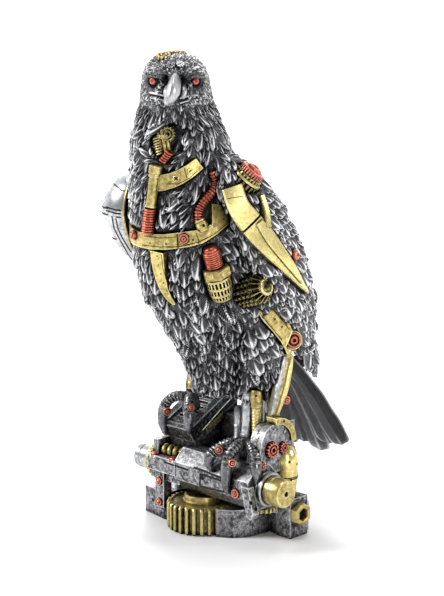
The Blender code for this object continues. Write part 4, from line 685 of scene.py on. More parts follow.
def region_at(point, normal):
    """The kind of feather at a place of the skin, and the way in which it lies, or None where none grows."""
    x, y, z = point.x / MM, point.y / MM, point.z / MM
    from_eyes = point - EYE_LEVEL
    ahead, right, up = from_eyes.dot(FACE_WAY) / MM, from_eyes.dot(HEAD_SIDE) / MM, from_eyes.z / MM
    if z > HEAD_FOOT:
        if ahead > 0.5 and abs(right) < 5.2 and -11 < up < 3:
            return None
        if any((point - eye).length < EYE_CLEARANCE for eye in EYES):
            return None
        back = point - (EYE_LEVEL + FACE_WAY * (12 * MM))
        way = back.normalized() - Z_AXIS * (0.25 if up > 0 else 0.9)
        if up < -12:
            return "chin", way
        return ("face" if ahead > -13 else "head"), way
    if z < (RIGHT_THIGH_FOOT if x < -10 and y < 12 else THIGH_FOOT):
        return None
    side = 1 if x > 0 else -1
    along, rise = ((point - TAIL_ROOT).dot(way) / MM for way in (TAIL_WAY, TAIL_OUT))
    if along > 8 and abs(rise) < (6.5 if abs(x) < 26 else 3):
        return None
    if abs(x) > 14 and y > 26 and z < PRIMARY_TOP and rise > 3:
        return "primary", wing_way(side)
    outer = normal.x * side
    if abs(x) > 33 and COVERT_FOOT < z < COVERT_TOP and outer > 0.1 and (y > -24 or outer > 0.75):
        return "covert", wing_way(side)
    to_right = point.dot(CAMERA_SIDE) / MM
    if z > NECK_FOOT:
        return "neck", Vector((0, 0, -1)) + CAMERA_SIDE * (to_right * 0.02)
    if z > LOCK_FOOT and y < -38 and to_right > -26:
        return "lock", Vector((0, 0, -1)) - CAMERA_SIDE * 0.75
    if y > 8:
        return "back", Vector((0, 0.35, -1))
    if z < BELLY_FOOT:
        return "thigh", Vector((0, 0.15, -1))
    if z < BREAST_FOOT:
        return "belly", Vector((0, 0.1, -1))
    return "breast", Vector((0, 0, -1))


def skin_samples(count):
    """Points spread evenly and at random over the skin, with their normals."""
    points = vertex_array(SKIN)
    faces = np.array([p.vertices[:3] for p in SKIN.polygons] + [
        (p.vertices[0], p.vertices[2], p.vertices[-1]) for p in SKIN.polygons if len(p.vertices) == 4])
    a, b, c = points[faces[:, 0]], points[faces[:, 1]], points[faces[:, 2]]
    normals = np.cross(b - a, c - a)
    areas = np.linalg.norm(normals, axis=1)
    chosen = RANDOM.choice(len(faces), count, p=areas / areas.sum())
    first, second = RANDOM.random(count), RANDOM.random(count)
    flip = first + second > 1
    first[flip], second[flip] = 1 - first[flip], 1 - second[flip]
    found = a[chosen] + (b - a)[chosen] * first[:, None] + (c - a)[chosen] * second[:, None]
    return found, normals[chosen] / areas[chosen][:, None]


def cell_of(point):
    return tuple(int(math.floor(c / SPREAD_CELL)) for c in point)


def has_room(cells, point, way, side, apart_along, apart_across):
    """Whether a feather's root is clear of the roots around it, closer along its length than across."""
    key = cell_of(point)
    for i in (-1, 0, 1):
        for j in (-1, 0, 1):
            for k in (-1, 0, 1):
                for other in cells.get((key[0] + i, key[1] + j, key[2] + k), ()):
                    gap = point - other
                    if gap.length > max(apart_along, apart_across):
                        continue
                    if (gap.dot(way) / apart_along) ** 2 + (gap.dot(side) / apart_across) ** 2 < 1:
                        return False
    return True


def laid_spine(point, way, normal, length):
    """The line of a feather on the skin: its points, outward ways and sideways, or None."""
    spots, outs, sides = [point], [normal], [way.cross(normal).normalized()]
    here, ahead = point, way
    for _ in range(SPINE_STEPS - 1):
        there, out, _, _ = SKIN_TREE.find_nearest(here + ahead * (length / (SPINE_STEPS - 1)))
        if there is None or out.dot(outs[-1]) < 0.2:
            return None
        out = (outs[-1] * 0.6 + out * 0.4).normalized()
        ahead = (ahead - out * ahead.dot(out)).normalized()
        spots.append(there)
        outs.append(out)
        sides.append(ahead.cross(out).normalized())
        here = there
    return spots, outs, sides


def clear_of_fittings(spots, outs, half_width, rise):
    for spot, out in list(zip(spots, outs))[1:]:
        if FITTINGS.find_nearest(spot + out * rise, half_width)[0] is not None:
            return False
    return True


def grow_plumage():
    """Chooses the feathers: for each, its spine, size and kind."""
    found, cells = [], {}
    for point, normal in zip(*skin_samples(SKIN_SAMPLES)):
        point, normal = Vector(point), Vector(normal)
        kind_way = region_at(point, normal)
        if kind_way is None:
            continue
        kind, way = kind_way
        length, width, rise, blunt = (v * (MM if k < 3 else 1) for k, v in enumerate(FEATHER_KINDS[kind]))
        stray, spacing = (COVERT_STRAY, COVERT_APART_ALONG) if kind == "covert" else (STRAY, APART_ALONG)
        size = RANDOM.uniform(*FEATHER_SIZES)
        length, width = length * size, width * size
        way = way.normalized() + Vector(RANDOM.normal(0, stray, 3))
        way = way - normal * way.dot(normal)
        if way.length < 0.2:
            continue
        way.normalize()
        side = way.cross(normal).normalized()
        for scale in SMALLER_SIZES:
            if not has_room(cells, point, way, side, length * scale * spacing, width * scale * APART_ACROSS):
                continue
            spine = laid_spine(point, way, normal, length * scale)
            if spine is None or not clear_of_fittings(spine[0], spine[1], width * scale * 0.2, rise * 0.4):
                continue
            cells.setdefault(cell_of(point), []).append(point)
            found.append(Feather(kind, spine, length * scale, width * scale, rise * (0.5 + 0.5 * scale),
                                 blunt))
            break
    return found


def outline_of(share, blunt):
    """Half the width of a feather at a share of its length, as a share of its greatest half width."""
    pointed = (4 * share * (1 - share)) ** 0.55 * (1.08 - 0.25 * share)
    ending = np.clip((share - 0.5) / 0.5, 0, 1)
    rounded = np.minimum(1, share * 2.4) ** 0.6 * np.sqrt(np.clip(1 - ending**2.6, 0, 1))
    return np.maximum(pointed * (1 - blunt) + rounded * blunt, 0.03)


def along_spines(lines):
    """The points or ways of some spines at every row of their feathers' grids."""
    lines = np.array([[tuple(p) for p in line] for line in lines])
    steps = np.linspace(0.0, 1.0, FEATHER_ROWS) * (SPINE_STEPS - 1)
    low = np.minimum(steps.astype(int), SPINE_STEPS - 2)
    part = (steps - low)[None, :, None]
    return lines[:, low] * (1 - part) + lines[:, low + 1] * part


def feather_height(share, aside, rise, phase):
    """How far a feather stands off its spine: rising to its tip, with a shaft, furrows and lower sides."""
    height = rise * (1.5 * share**0.8 - 0.55)
    height = height - rise * 0.42 * aside**2 * (0.4 + 0.6 * share)
    height = height + rise * 0.26 * np.exp(-((aside * 3.4) ** 2)) * np.sin(np.pi * np.clip(share, 0.05, 0.97))
    furrows = np.cos(share * 19 - np.abs(aside) * 4.4 + phase)
    height = height + rise * 0.075 * furrows * np.abs(aside) * (1 - aside**4)
    return height - rise * 0.35 * np.clip((share - 0.86) / 0.14, 0, 1) ** 2


def feather_lift(share, aside):
    """How bright a feather is rubbed: on its shaft, along its rims and at its tip."""
    shaft = np.exp(-((np.abs(aside) * 4) ** 2)) * 0.85
    rims = np.abs(aside) ** 3 * 0.85
    tip = np.clip((share - 0.6) / 0.4, 0, 1) * 0.42
    return np.clip((np.maximum(shaft, rims) + tip + 0.28) * (0.2 + 0.8 * share**0.7), 0, 1)


def plumed(name, points, faces, labels):
    """A mesh of feathers as an object, with the numbers at its points that the feathers' paint reads."""
    mesh = bpy.data.meshes.new(name)
    mesh.from_pydata(points, [], faces)
    for label, values in zip(FEATHER_LABELS, labels):
        data = mesh.attributes.new(label, "FLOAT", "POINT").data
        data.foreach_set("value", values.astype(np.float32).ravel())
    made = added(name, mesh, FEATHER_PAINT)


def feather_piece(name, feathers):
    """One mesh of many feathers: each a ridged leaf whose rim turns down into the skin."""
    rows, columns, count = FEATHER_ROWS, FEATHER_COLUMNS, len(feathers)
    share = np.linspace(0.0, 1.0, rows)[None, :, None]
    aside = np.linspace(-1.0, 1.0, columns)[None, None, :]
    spots, outs, sides = (along_spines([f.spine[k] for f in feathers]) for k in range(3))
    length, width, rise, blunt = (np.array([f[k] for f in feathers])[:, None, None] for k in range(2, 6))
    rise = rise * RANDOM.uniform(0.75, 1.25, (count, 1, 1))
    bend = RANDOM.normal(0, 0.07, (count, 1, 1))
    phase = RANDOM.uniform(0, 6.28, (count, 1, 1))
    half = outline_of(share, blunt) * width / 2 * (1 + 0.07 * np.sin(share * 23 + phase) * np.abs(aside))
    sideways = half * aside + bend * length * share**2
    height = feather_height(share, aside, rise, phase)
    tops = (spots[:, :, None, :] + sides[:, :, None, :] * sideways[..., None]
            + outs[:, :, None, :] * height[..., None])
    rim_rows, rim_columns = np.array(grid_rim(rows, columns)).T
    drop = np.maximum(height[:, rim_rows, rim_columns], 0) + 0.5 * rise[:, :, 0]
    skirt = (spots[:, rim_rows] + (tops[:, rim_rows, rim_columns] - spots[:, rim_rows]) * SKIRT_SHARE
             - outs[:, rim_rows] * drop[..., None])
    points = np.concatenate([tops.reshape(count, -1, 3), skirt], axis=1)
    shift, edge = rows * columns, rim_rows * columns + rim_columns
    following = np.roll(np.arange(len(edge)), -1)
    grid = grid_faces(rows, columns)
    grid += [(edge[k], shift + k, shift + j, edge[j]) for k, j in enumerate(following)]
    per_feather = shift + len(edge)
    faces = (np.array(grid)[None] + np.arange(count)[:, None, None] * per_feather).reshape(-1, 4)[:, ::-1]

    def with_skirt(values, at_skirt):
        values = np.broadcast_to(values, (count, rows, columns)).reshape(count, -1)
        return np.concatenate([values, np.full((count, len(edge)), at_skirt)], axis=1)

    # A feather's tone: a random share, plus its region's rubbing and painted light and shade.
    tone = RANDOM.uniform(0, 1, (count, 1)) + np.array([[KIND_RUB_LIGHT_AND_SHADE.get(f.kind, 0.0)] for f in feathers])
    labels = (with_skirt(feather_lift(share, aside), 0.0), with_skirt(share + phase * 0.1, 1.0),
              with_skirt(np.abs(aside), 1.0), np.repeat(tone, per_feather, axis=1))
    plumed(name, points.reshape(-1, 3), faces, labels)


def skin_piece():
    for label in FEATHER_LABELS:
        SKIN.attributes.new(label, "FLOAT", "POINT")
    made = added("eagle_body", SKIN, SKIN_PAINT)
    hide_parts("eagle")
    return made


BODY = skin_piece()
PLUMAGE = grow_plumage()
GROUPS = {"head_plumage": ("face", "head"), "neck_plumage": ("neck", "chin"),
          "breast_plumage": ("lock", "breast", "belly"), "leg_plumage": ("thigh",),
          "back_plumage": ("back",), "wing_plumage": ("covert", "primary")}
for group, kinds in GROUPS.items():
    feather_piece(group, [f for f in PLUMAGE if f.kind in kinds])


# Placing by the photograph. A pixel is (column, row) and a radius is in millimetres.

TREES = {}
# The dark plugs and lines in the first list are painted shade in holes, grooves, slots and sockets.
SHADE_BITS, SILVER_BITS, STRIP_BITS = [], [], []
SEARCH_REACH = 9
OFFSETS = range(-SEARCH_REACH, SEARCH_REACH + 1)
SEARCH = sorted(((i, j) for i in OFFSETS for j in OFFSETS),
                key=lambda offset: offset[0] ** 2 + offset[1] ** 2)
# How far apart the points of a laid line are, in pixels or in millimetres.
LINE_STEP = 3.0
CAST_FROM = 80 * MM


def tree_of(made):
    """The surface of an object, for casting rays on it."""
    if made.name not in TREES:
        mesh = made.data
        TREES[made.name] = BVHTree.FromPolygons([v.co for v in mesh.vertices],
                                                [tuple(p.vertices) for p in mesh.polygons])
    return TREES[made.name]


def seen(made, column, row):
    """Where a pixel of the photograph falls on an object, or beside it: the point and its outward way."""
    for i, j in SEARCH:
        aim = (-CAMERA_BACK + CAMERA_SIDE * ((column + i - TARGET_COLUMN) / FOCAL_PIXELS)
               + CAMERA_UP * ((TARGET_ROW - row - j) / FOCAL_PIXELS))
        point, normal, _, _ = tree_of(made).ray_cast(CAMERA_AT, aim.normalized())
        if point is not None:
            return point, normal
    raise ValueError(f"pixel {column}, {row} isn't on {made.name}")


def cast(made, place, way):
    """Where an object is met by the line against way through a place in millimetres."""
    point, normal, _, _ = tree_of(made).ray_cast(mm(*place) + way * CAST_FROM, -way)
    return point, normal


def stops(places):
    """Points along the straight runs through some places, about a step apart."""
    found = []
    for first, second in zip(places, places[1:]):
        first, second = Vector(first), Vector(second)
        count = max(1, int((second - first).length / LINE_STEP))
        found += [first.lerp(second, k / count) for k in range(count)]
    return found + [Vector(places[-1])]


def groove(laid, radius, sink=0.45):
    """A thin round line through laid points, sunk by a share of its radius."""
    points = [point - normal * (radius * MM * sink) for point, normal in laid if point is not None]
    return tube(points, radius * MM, 6)


def bore(point, normal, radius):
    """A hole's painted shade, as a low dark plug."""
    profile = [(radius, 0), (radius, 0.56), (radius * 0.8, 0.62)]
    return lathed(point - normal * (0.5 * MM), normal, profile, 12)


def engrave(made, radius, *lines):
    """Dark lines of painted shade on an object, as engraved grooves, each through pixels of the photograph."""
    for pixels in lines:
        SHADE_BITS.append(groove([seen(made, *pixel) for pixel in stops(pixels)], radius))


def drill(made, radius, *pixels):
    """Dark plugs of painted shade on an object, as holes, at pixels of the photograph."""
    for pixel in pixels:
        SHADE_BITS.append(bore(*seen(made, *pixel), radius))


def engrave_side(made, radius, way, *lines):
    """Dark lines of painted shade, as engraved grooves, through places in millimetres, on the side of an
    object that way looks out of.
    """
    for places in lines:
        SHADE_BITS.append(groove([cast(made, place, way) for place in stops(places)], radius, 0.4))


def drill_side(made, radius, way, *places):
    """Dark plugs of painted shade, as holes, at places in millimetres, on the side of an object that way looks
    out of.
    """
    for place in places:
        SHADE_BITS.append(bore(*cast(made, place, way), radius))


def screw(made, pixel, radius, crossed):
    """A screw head on an object, with a dark cross or slot in it, as painted shade."""
    point, normal = seen(made, *pixel)
    u, v = across(normal)
    for way in ((u + v).normalized(), (u - v).normalized())[:2 if crossed else 1]:
        SHADE_BITS.append(block(point + normal * (0.52 * MM), way * (radius * 0.72 * MM),
                               way.cross(normal) * (0.32 * MM), normal * (0.16 * MM)))
    profile = [(radius, 0), (radius, 0.9), (radius * 0.85, 1.15), (radius * 0.3, 1.2)]
    return lathed(point - normal * (0.6 * MM), normal, profile, 20)


def remade(name, shapes, material, smooth=35, bevel=0.0):
    """A piece of finer shapes in a node's place."""
    return piece(name + "_finished", shapes, material, smooth, bevel, (name,))


def refined(name, material, bevel=0.45):
    """A node's own solid with its facets smoothed and its edges rounded."""
    work = bmesh.new()
    work.from_mesh(NODES[name].data)
    bmesh.ops.remove_doubles(work, verts=work.verts, dist=0.005 * MM)
    bmesh.ops.dissolve_limit(work, angle_limit=math.radians(0.8), verts=work.verts, edges=work.edges)
    mesh = bpy.data.meshes.new(name + "_finished")
    work.to_mesh(mesh)
    work.free()
    made = added(name + "_finished", mesh, material)
    mesh.set_sharp_from_angle(angle=math.radians(38))
    soften(made, bevel)
    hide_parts(name)
    return made


def bolt(name, point, way, radius=2.9, height=1.9, sink=1.2):
    """A round bolt head: a flange, a groove and a raised middle with a hole."""
    r, h = radius, height
    profile = [(r, -sink), (r, 0.5 * h), (0.9 * r, 0.72 * h), (0.7 * r, 0.72 * h), (0.62 * r, 0.35 * h),
               (0.52 * r, 0.35 * h), (0.46 * r, 0.9 * h), (0.36 * r, h), (0.2 * r, h), (0.16 * r, 0.3 * h)]
    remade(name, [lathed(point, way, profile, 24)], COPPER, 32)
    # The hole in the middle, as a dark plug of painted shade.
    SHADE_BITS.append(lathed(point, way, [(r * 0.24, 0), (r * 0.24, h * 0.8)], 10))


def spring(name, start, end, radius, wire, turns, material):
    """A wound spring on a dark core, which is painted shade inside the winding."""
    piece(name + "_winding", [helix(start, end, (radius - wire) * MM, wire * MM, turns)], material, 60,
          replaces=(name,))
    core = radius - wire * 1.25
    SHADE_BITS.append(lathed(start, end - start, [(core, 0), (core, (end - start).length / MM)], 16))


def spur_gear(centre, way, radius, height, teeth):
    """A flat gear with a sunk web and a raised hub."""
    r, h = radius, height
    profile = [(r * 0.9, 0, 1), (r, h * 0.15, 1), (r, h * 0.85, 1), (r * 0.95, h, 1), (r * 0.7, h, 0),
               (r * 0.66, h * 0.75, 0), (r * 0.46, h * 0.75, 0), (r * 0.44, h * 1.08, 0),
               (r * 0.3, h * 1.08, 0), (r * 0.27, h * 0.4, 0)]
    return toothed(centre, way, teeth, 0.2, profile)


# The head.

# The middle of the beak, as (ahead, aside, height), and its half depths and half widths.
BEAK_LINE = ((19, 1.4, 281.0), (27, 0.9, 281.8), (33.5, 0.1, 280.0), (37.8, -1.0, 275.5),
             (38.0, -3.3, 269.6))
BEAK_HALVES = ((5.4, 1.8), (6.0, 2.8), (6.0, 3.6), (4.9, 3.8), (3.0, 2.1))
BEAK_STEPS = 60
BEAK_SIDES = 28
NECK_AXIS = mm(0, -38.8, 0)
LIP_LINES = (((166, 96), (158, 94), (151, 93)), ((180, 98), (188, 96), (197, 95)))
EYE_HOLLOWS = (((148.5, 82), (153, 81), (158, 81), (163, 83.5)),
               ((186, 82), (192, 82), (199, 83), (205, 86)))
EYE_HOLLOW_RADII = (1.8, 2.5, 2.6, 1.9)
BROW_LINES = (((146, 76), (152, 74.5), (159, 75.5), (166, 80)),
              ((206, 77), (199, 75.5), (191, 76), (183, 80.5)))
FOREHEAD_GEARS = (((171, 66.5), 2.7), ((180, 65.5), 2.5))


def beak_line():
    places = [NECK_AXIS + FACE_WAY * (ahead * MM) + HEAD_SIDE * (aside * MM) + Z_AXIS * (height * MM)
              for ahead, aside, height in BEAK_LINE]
    return smooth_curve(places, BEAK_STEPS + 1)


def beak_sections(end, count, swell):
    """Rings of the beak from its root to a share of its length, swollen by a number of millimetres."""
    line = beak_line()
    halves = smooth_curve([Vector(h) for h in BEAK_HALVES], BEAK_STEPS + 1)
    rising = 1 if HEAD_SIDE.cross(FACE_WAY).z < 0 else -1
    rings = []
    for n in range(count):
        k = round(end * n / (count - 1) * BEAK_STEPS)
        ahead = (line[min(k + 1, BEAK_STEPS)] - line[max(k - 1, 0)]).normalized()
        up = -HEAD_SIDE.cross(ahead).normalized() * rising
        round_off = math.sqrt(max(0.03, 1 - max(0.0, (k - 53) / 7) ** 2)) * MM
        deep, wide = ((half + swell) * round_off for half in halves[k])
        ring = []
        for a in (2 * math.pi * i / BEAK_SIDES for i in range(BEAK_SIDES)):
            narrow = 1 - 0.34 * max(0.0, math.sin(a)) ** 1.5 + 0.1 * max(0.0, -math.sin(a))
            ring.append(line[k] + up * (deep * math.sin(a)) + HEAD_SIDE * (wide * narrow * math.cos(a)))
        rings.append(ring)
    return rings


def beak():
    """The hooked beak, the cere with a lobe on each side, the nostrils and the lips."""
    piece("beak", [skinned(beak_sections(1.0, 26, 0.25))], BEAK_PAINT, 70)
    line = beak_line()
    cere = [skinned(beak_sections(0.27, 10, 0.5))]
    for side in (-1, 1):
        reach = HEAD_SIDE * side
        through = [line[k] + reach * (out * MM) + Z_AXIS * (rise * MM)
                   for k, out, rise in ((8, 3.4, 1), (14, 4.4, -2), (20, 4.8, -5), (22, 4.6, -8))]
        sizes = smooth_values((0.8, 1.6, 2.0, 0.9), 16)
        cere.append(tube(smooth_curve(through, 16), [size * MM for size in sizes], 14))
        way = (reach + FACE_WAY * 0.25 + Z_AXIS * 0.2).normalized()
        # A nostril, as a dark plug of painted shade.
        SHADE_BITS.append(lathed(line[14] + way * (5.0 * MM), way, [(1.1, 0), (1.1, 1.35)], 12))
    piece("cere", cere, BEAK_PAINT, 70)
    for pixels in LIP_LINES:
        lips = [seen(BODY, *pixel) for pixel in pixels]
        for drop, reach in ((0.0, 0.75), (2.7, 0.6)):
            lip = [p + n * (0.35 * MM) - Z_AXIS * (drop * MM) for p, n in lips]
            SILVER_BITS.append(tube(lip, reach * MM, 8))
        # The line between the lips, as a dark line of painted shade.
        SHADE_BITS.append(tube([p + n * (0.2 * MM) - Z_AXIS * (1.4 * MM) for p, n in lips], 0.9 * MM, 8))


def eyes():
    """The red eyes in dark rings, the hollows round them and the brows; the rings and hollows are painted
    shade.
    """
    ball = [(2.3, -3), (2.4, 1.6), (2.2, 2.4), (1.6, 3.0), (1.2, 3.1), (1.0, 2.7), (0.4, 2.7)]
    ring = [(4.6, -4.0), (4.6, 0.4), (4.0, 1.4), (3.3, 1.4), (2.7, 0.6), (2.4, -1.5)]
    for name, eye, side in (("right_eye", EYES[0], -1), ("left_eye", EYES[1], 1)):
        way = (HEAD_SIDE * (side * 0.45) + FACE_WAY).normalized()
        remade(name, [lathed(eye, way, ball, 20)], COPPER, 40)
        SHADE_BITS.append(lathed(eye, way, ring, 24))
    for pixels in EYE_HOLLOWS:
        hollow = [seen(BODY, *pixel) for pixel in pixels]
        sunk = [p - n * (1.5 * MM) for p, n in hollow]
        SHADE_BITS.append(tube(sunk, [radius * MM for radius in EYE_HOLLOW_RADII], 12))
    brows = []
    for pixels in BROW_LINES:
        ridge = [seen(BODY, *pixel) for pixel in pixels]
        points = smooth_curve([p + n * (0.2 * MM) for p, n in ridge], 16)
        brows.append(tube(points, [(0.8 + 1.1 * math.sin(math.pi * k / 15)) * MM for k in range(16)], 10))
    piece("brows", brows, SKIN_PAINT, 60)


def head_gears():
    """The gears on the crown, and the two in relief on the forehead."""
    lean = (Z_AXIS * 0.9 + FACE_WAY * 0.4).normalized()
    up = (Z_AXIS + lean * 0.15).normalized()
    front, top, small = mm(1.8, -49.8, 296.8), mm(1.8, -39.2, 299.0), mm(-4.6, -45.5, 297.6)
    front_gear = spur_gear(front - lean * (1.5 * MM), lean, 4.4, 3.0, 10)
    top_gear = spur_gear(top - up * (1.5 * MM), up, 5.3, 2.9, 12)
    remade("crown_gear_front", [front_gear], PALE_BRASS, 30, 0.15)
    remade("crown_gear_top", [top_gear], PALE_BRASS, 30, 0.15)
    reliefs = []
    for pixel, radius in FOREHEAD_GEARS:
        point, normal = seen(BODY, *pixel)
        reliefs.append(spur_gear(point - normal * (0.4 * MM), normal, radius, 1.9, 9))
    piece("forehead_gears", reliefs, CLAW, 30)
    piece("crown_pinion", [spur_gear(small - up * (0.8 * MM), up, 2.6, 2.0, 8)], PALE_BRASS, 30, 0.1)


def neck_works():
    """The gear, the three rods and the coils in the opening of the neck."""
    way = Vector((0.47, -0.88, 0))
    remade("neck_gear", [spur_gear(mm(10.4, -53.6, 252.5), way, 4.6, 3.4, 14)], GILT, 30, 0.12)
    top, foot = mm(7.6, -57.5, 256), mm(10.0, -55.7, 241)
    aside = way.cross(Z_AXIS).normalized()
    rods = []
    for k, r in ((-1, 1.0), (0, 1.25), (1, 1.0)):
        start, end = top - aside * (k * 2.6 * MM), foot - aside * (k * 2.2 * MM)
        length = (end - start).length / MM
        rod = [(r, 0), (r, length * 0.25), (r * 1.5, length * 0.27), (r * 1.5, length * 0.4),
               (r, length * 0.42), (r, length)]
        rods.append(lathed(start, end - start, rod, 12))
    remade("neck_rod", rods, BRASS)
    spring("neck_spring", mm(4.2, -58.2, 251), mm(6.6, -57.3, 240.5), 2.8, 0.6, 7, BRASS)
    spring("neck_coil", mm(10.3, -59.4, 236.5), mm(14.8, -57.1, 242.5), 2.6, 0.65, 5, COPPER)


# The breast, shoulders and flank.

# Lines on the straps, each with its radius.
LOWER_STRAP_LINES = ((0.45, ((177, 234), (178, 248))),
                     (0.3, ((142, 245), (160, 247), (178, 247), (199, 242), (213, 235), (227, 224))),
                     (0.25, ((144, 236), (160, 238), (176, 237))),
                     (0.3, ((196, 233), (200, 244))),
                     (0.3, ((211, 205), (212, 226))))
LOWER_STRAP_HOLES = ((150, 243), (166, 244), (193, 240), (224, 206), (224, 219), (214, 208))
UPPER_STRAP_LINES = ((0.28, ((167, 184), (178, 184), (190, 178), (197, 171))),
                     (0.35, ((184, 168), (187, 178))))
UPPER_STRAP_SCREWS = (((176, 178.6), 1.9, True), ((190, 171), 1.5, False))
KEEL_LINE = ((161, 252), (163, 268), (167, 282), (172, 295))
KEEL_HOLES = ((157, 256), (165, 256), (158.5, 265), (166.5, 265), (161, 274), (168.5, 274), (163.5, 283),
              (171.5, 283), (167, 291), (174, 291))
HOSE_PLACES = ((30.7, -38.6, 231), (31.7, -37.2, 224), (31.5, -40.7, 218.5), (30.1, -45.5, 213.5),
               (29.2, -48.2, 208.3), (29.5, -48.6, 202.5))
HOSE_STEPS = 200
HOSE_FITTING_HOLE = (203.5, 225.5)


def breast_works():
    """The post with its coil, the two straps, the keel plate and what is on them."""
    high, low = mm(8.2, -62.3, 234.5), mm(5.0, -63.9, 210.2)
    length = (low - high).length / MM
    shaft = [(3.4, -0.2), (4.0, 0.4), (4.0, 4.4), (3.5, 4.9), (3.5, 5.6), (3.8, 5.8), (3.8, 6.6),
             (3.1, 7.0), (3.1, length - 1.2), (3.6, length - 1.0), (3.6, length)]
    remade("breast_post", [lathed(high, low - high, shaft, 20)], BRASS)
    spring("post_coil", mm(4.8, -64.0, 209.5), mm(2.7, -64.7, 194.5), 3.8, 0.8, 10, COPPER)
    lower, upper, keel = (refined(name, BRASS) for name in ("lower_strap", "upper_strap", "keel_plate"))
    piece("strap_screws", [screw(upper, *values) for values in UPPER_STRAP_SCREWS], BRASS)
    for strap, lines in ((lower, LOWER_STRAP_LINES), (upper, UPPER_STRAP_LINES)):
        for radius, pixels in lines:
            engrave(strap, radius, pixels)
    drill(lower, 0.55, *LOWER_STRAP_HOLES)
    engrave(keel, 0.34, KEEL_LINE)
    drill(keel, 0.5, *KEEL_HOLES)
    bolt("strap_rivet", mm(24.1, -55.4, 192.5), Vector((0.62, -0.79, 0)))
    bolt("strap_end_rivet", mm(-12.7, -61.9, 192), Vector((-0.33, -0.95, 0)))


def hose():
    """The bellows hose down the breast, and its fitting."""
    line = smooth_curve([mm(*place) for place in HOSE_PLACES], HOSE_STEPS)
    ridges = round(sum((b - a).length for a, b in zip(line, line[1:])) / (1.75 * MM))
    radii = []
    for k in range(HOSE_STEPS):
        swell = 0.5 + 0.5 * math.cos(2 * math.pi * ridges * k / (HOSE_STEPS - 1))
        radii.append(2.65 * MM * (1 - 0.3 * swell**1.5))
    remade("breast_hose", [tube(line, radii, 14)], COPPER, 60)
    top, foot = mm(30.0, -48.8, 203.6), mm(32.8, -46.7, 196.5)
    fitting = [(2.6, 0), (3.1, 0.3), (3.1, 1.1), (2.7, 1.4), (3.4, 1.9), (3.6, 4.2), (3.2, 4.8), (2.7, 5.2),
               (2.6, 7)]
    made = remade("hose_fitting", [lathed(top, foot - top, fitting, 20)], BRASS)
    drill(made, 0.9, HOSE_FITTING_HOLE)


# The shoulder armour: its sections as (height, x, y, radius), and the double lines on it.
ARMOUR_SECTIONS = ((227.5, -36, -33, 5), (222.5, -37.5, -34.5, 13.5), (214, -39, -35.5, 18.8),
                   (202, -40, -36, 20.5), (189, -40.5, -33.8, 17.8), (177, -41.5, -30, 13.2),
                   (165, -42, -25, 5))
ARMOUR_START, ARMOUR_END = math.radians(-62), math.radians(-232)
ARMOUR_THICKNESS = 3.0
ARMOUR_ROWS, ARMOUR_COLUMNS = 40, 44
ARMOUR_LINES = (((106, 207), (116, 210), (127, 211)), ((106, 210.5), (116, 213.5), (127, 214)),
                ((112, 216), (114, 228), (120, 240), (128, 254), (134, 262)),
                ((116, 219), (118, 229), (123, 239), (131, 252)), ((116, 217), (130, 217.5)),
                ((114, 184), (121, 190), (128, 192)))
ARMOUR_RINGS = (204.5, 201.5, 186)
ARMOUR_UPRIGHTS = (24, 26)


def armour():
    """The polished shell over the right shoulder, engraved with double lines."""
    rows, columns = ARMOUR_ROWS, ARMOUR_COLUMNS
    sections = smooth_curve([Vector(section) for section in ARMOUR_SECTIONS], rows)
    outer, inner = [], []
    for height, x, y, radius in sections:
        for k in range(columns):
            angle = ARMOUR_START + (ARMOUR_END - ARMOUR_START) * k / (columns - 1)
            way = Vector((math.cos(angle), math.sin(angle), 0))
            outer.append(mm(x, y, height) + way * (radius * MM))
            inner.append(mm(x, y, height) + way * (max(radius - ARMOUR_THICKNESS, radius * 0.35) * MM))
    faces, shift = [], rows * columns
    for a, b, c, d in grid_faces(rows, columns):
        faces += [(a, b, c, d), (shift + a, shift + d, shift + c, shift + b)]
    rim = [r * columns + c for r, c in grid_rim(rows, columns)]
    faces += [(b, a, shift + a, shift + b) for a, b in zip(rim, rim[1:] + rim[:1])]
    made = remade("shoulder_armour", [facing_out(outer + inner, faces)], SILVER, 50)
    engrave(made, 0.62, *ARMOUR_LINES)
    # The engraved rings and uprights, as dark lines of painted shade.
    for height in ARMOUR_RINGS:
        row = min(range(rows), key=lambda r: abs(sections[r].x - height))
        SHADE_BITS.append(tube([outer[row * columns + c] for c in range(9, columns)], 0.5 * MM, 6))
    for column in ARMOUR_UPRIGHTS:
        SHADE_BITS.append(tube([outer[r * columns + column] for r in range(18, rows - 4)], 0.5 * MM, 6))
    front, back = ([outer[r * columns + c] for r in range(2, rows - 3)] for c in (0, columns - 1))
    beads = [0.95 * MM * (1 - 0.25 * (k % 2)) for k in range(len(front))]
    piece("armour_trim", [tube(front, beads, 10)], BRASS, 60)
    piece("armour_back_trim", [tube(back, 1.1 * MM, 10)], BRASS, 60)


# The wing blade: its points, outward ways and half widths, from the shoulder to the tip.
BLADE_LINE = (((45.5, -37.5, 223), (0.72, -0.66, 0.1), 6.0), ((48.5, -34.5, 211), (0.8, -0.58, 0.1), 6.4),
              ((52.0, -26.5, 200), (0.93, -0.36, 0.0), 7.4), ((55.0, -17.0, 189), (1.0, -0.1, 0.0), 7.2),
              ((55.5, -7.0, 179.5), (0.99, 0.12, 0.0), 6.2), ((53.5, 5.5, 169.5), (0.95, 0.3, 0.0), 4.8),
              ((46.5, 26.5, 153.5), (0.92, 0.4, 0.0), 0.8))
BLADE_STEPS = 120
BLADE_STRIP = ((51.5, -19.5, 217), (54.5, -18.5, 208), (56.3, -19, 199))
SECOND_PLATE_LINE = ((259, 222), (271, 240), (283, 256), (294, 271), (301, 283))
PLATE_SEAM = ((226, 199), (243, 196))
BLADE_HOLES = ((243, 226.5), (252, 223))


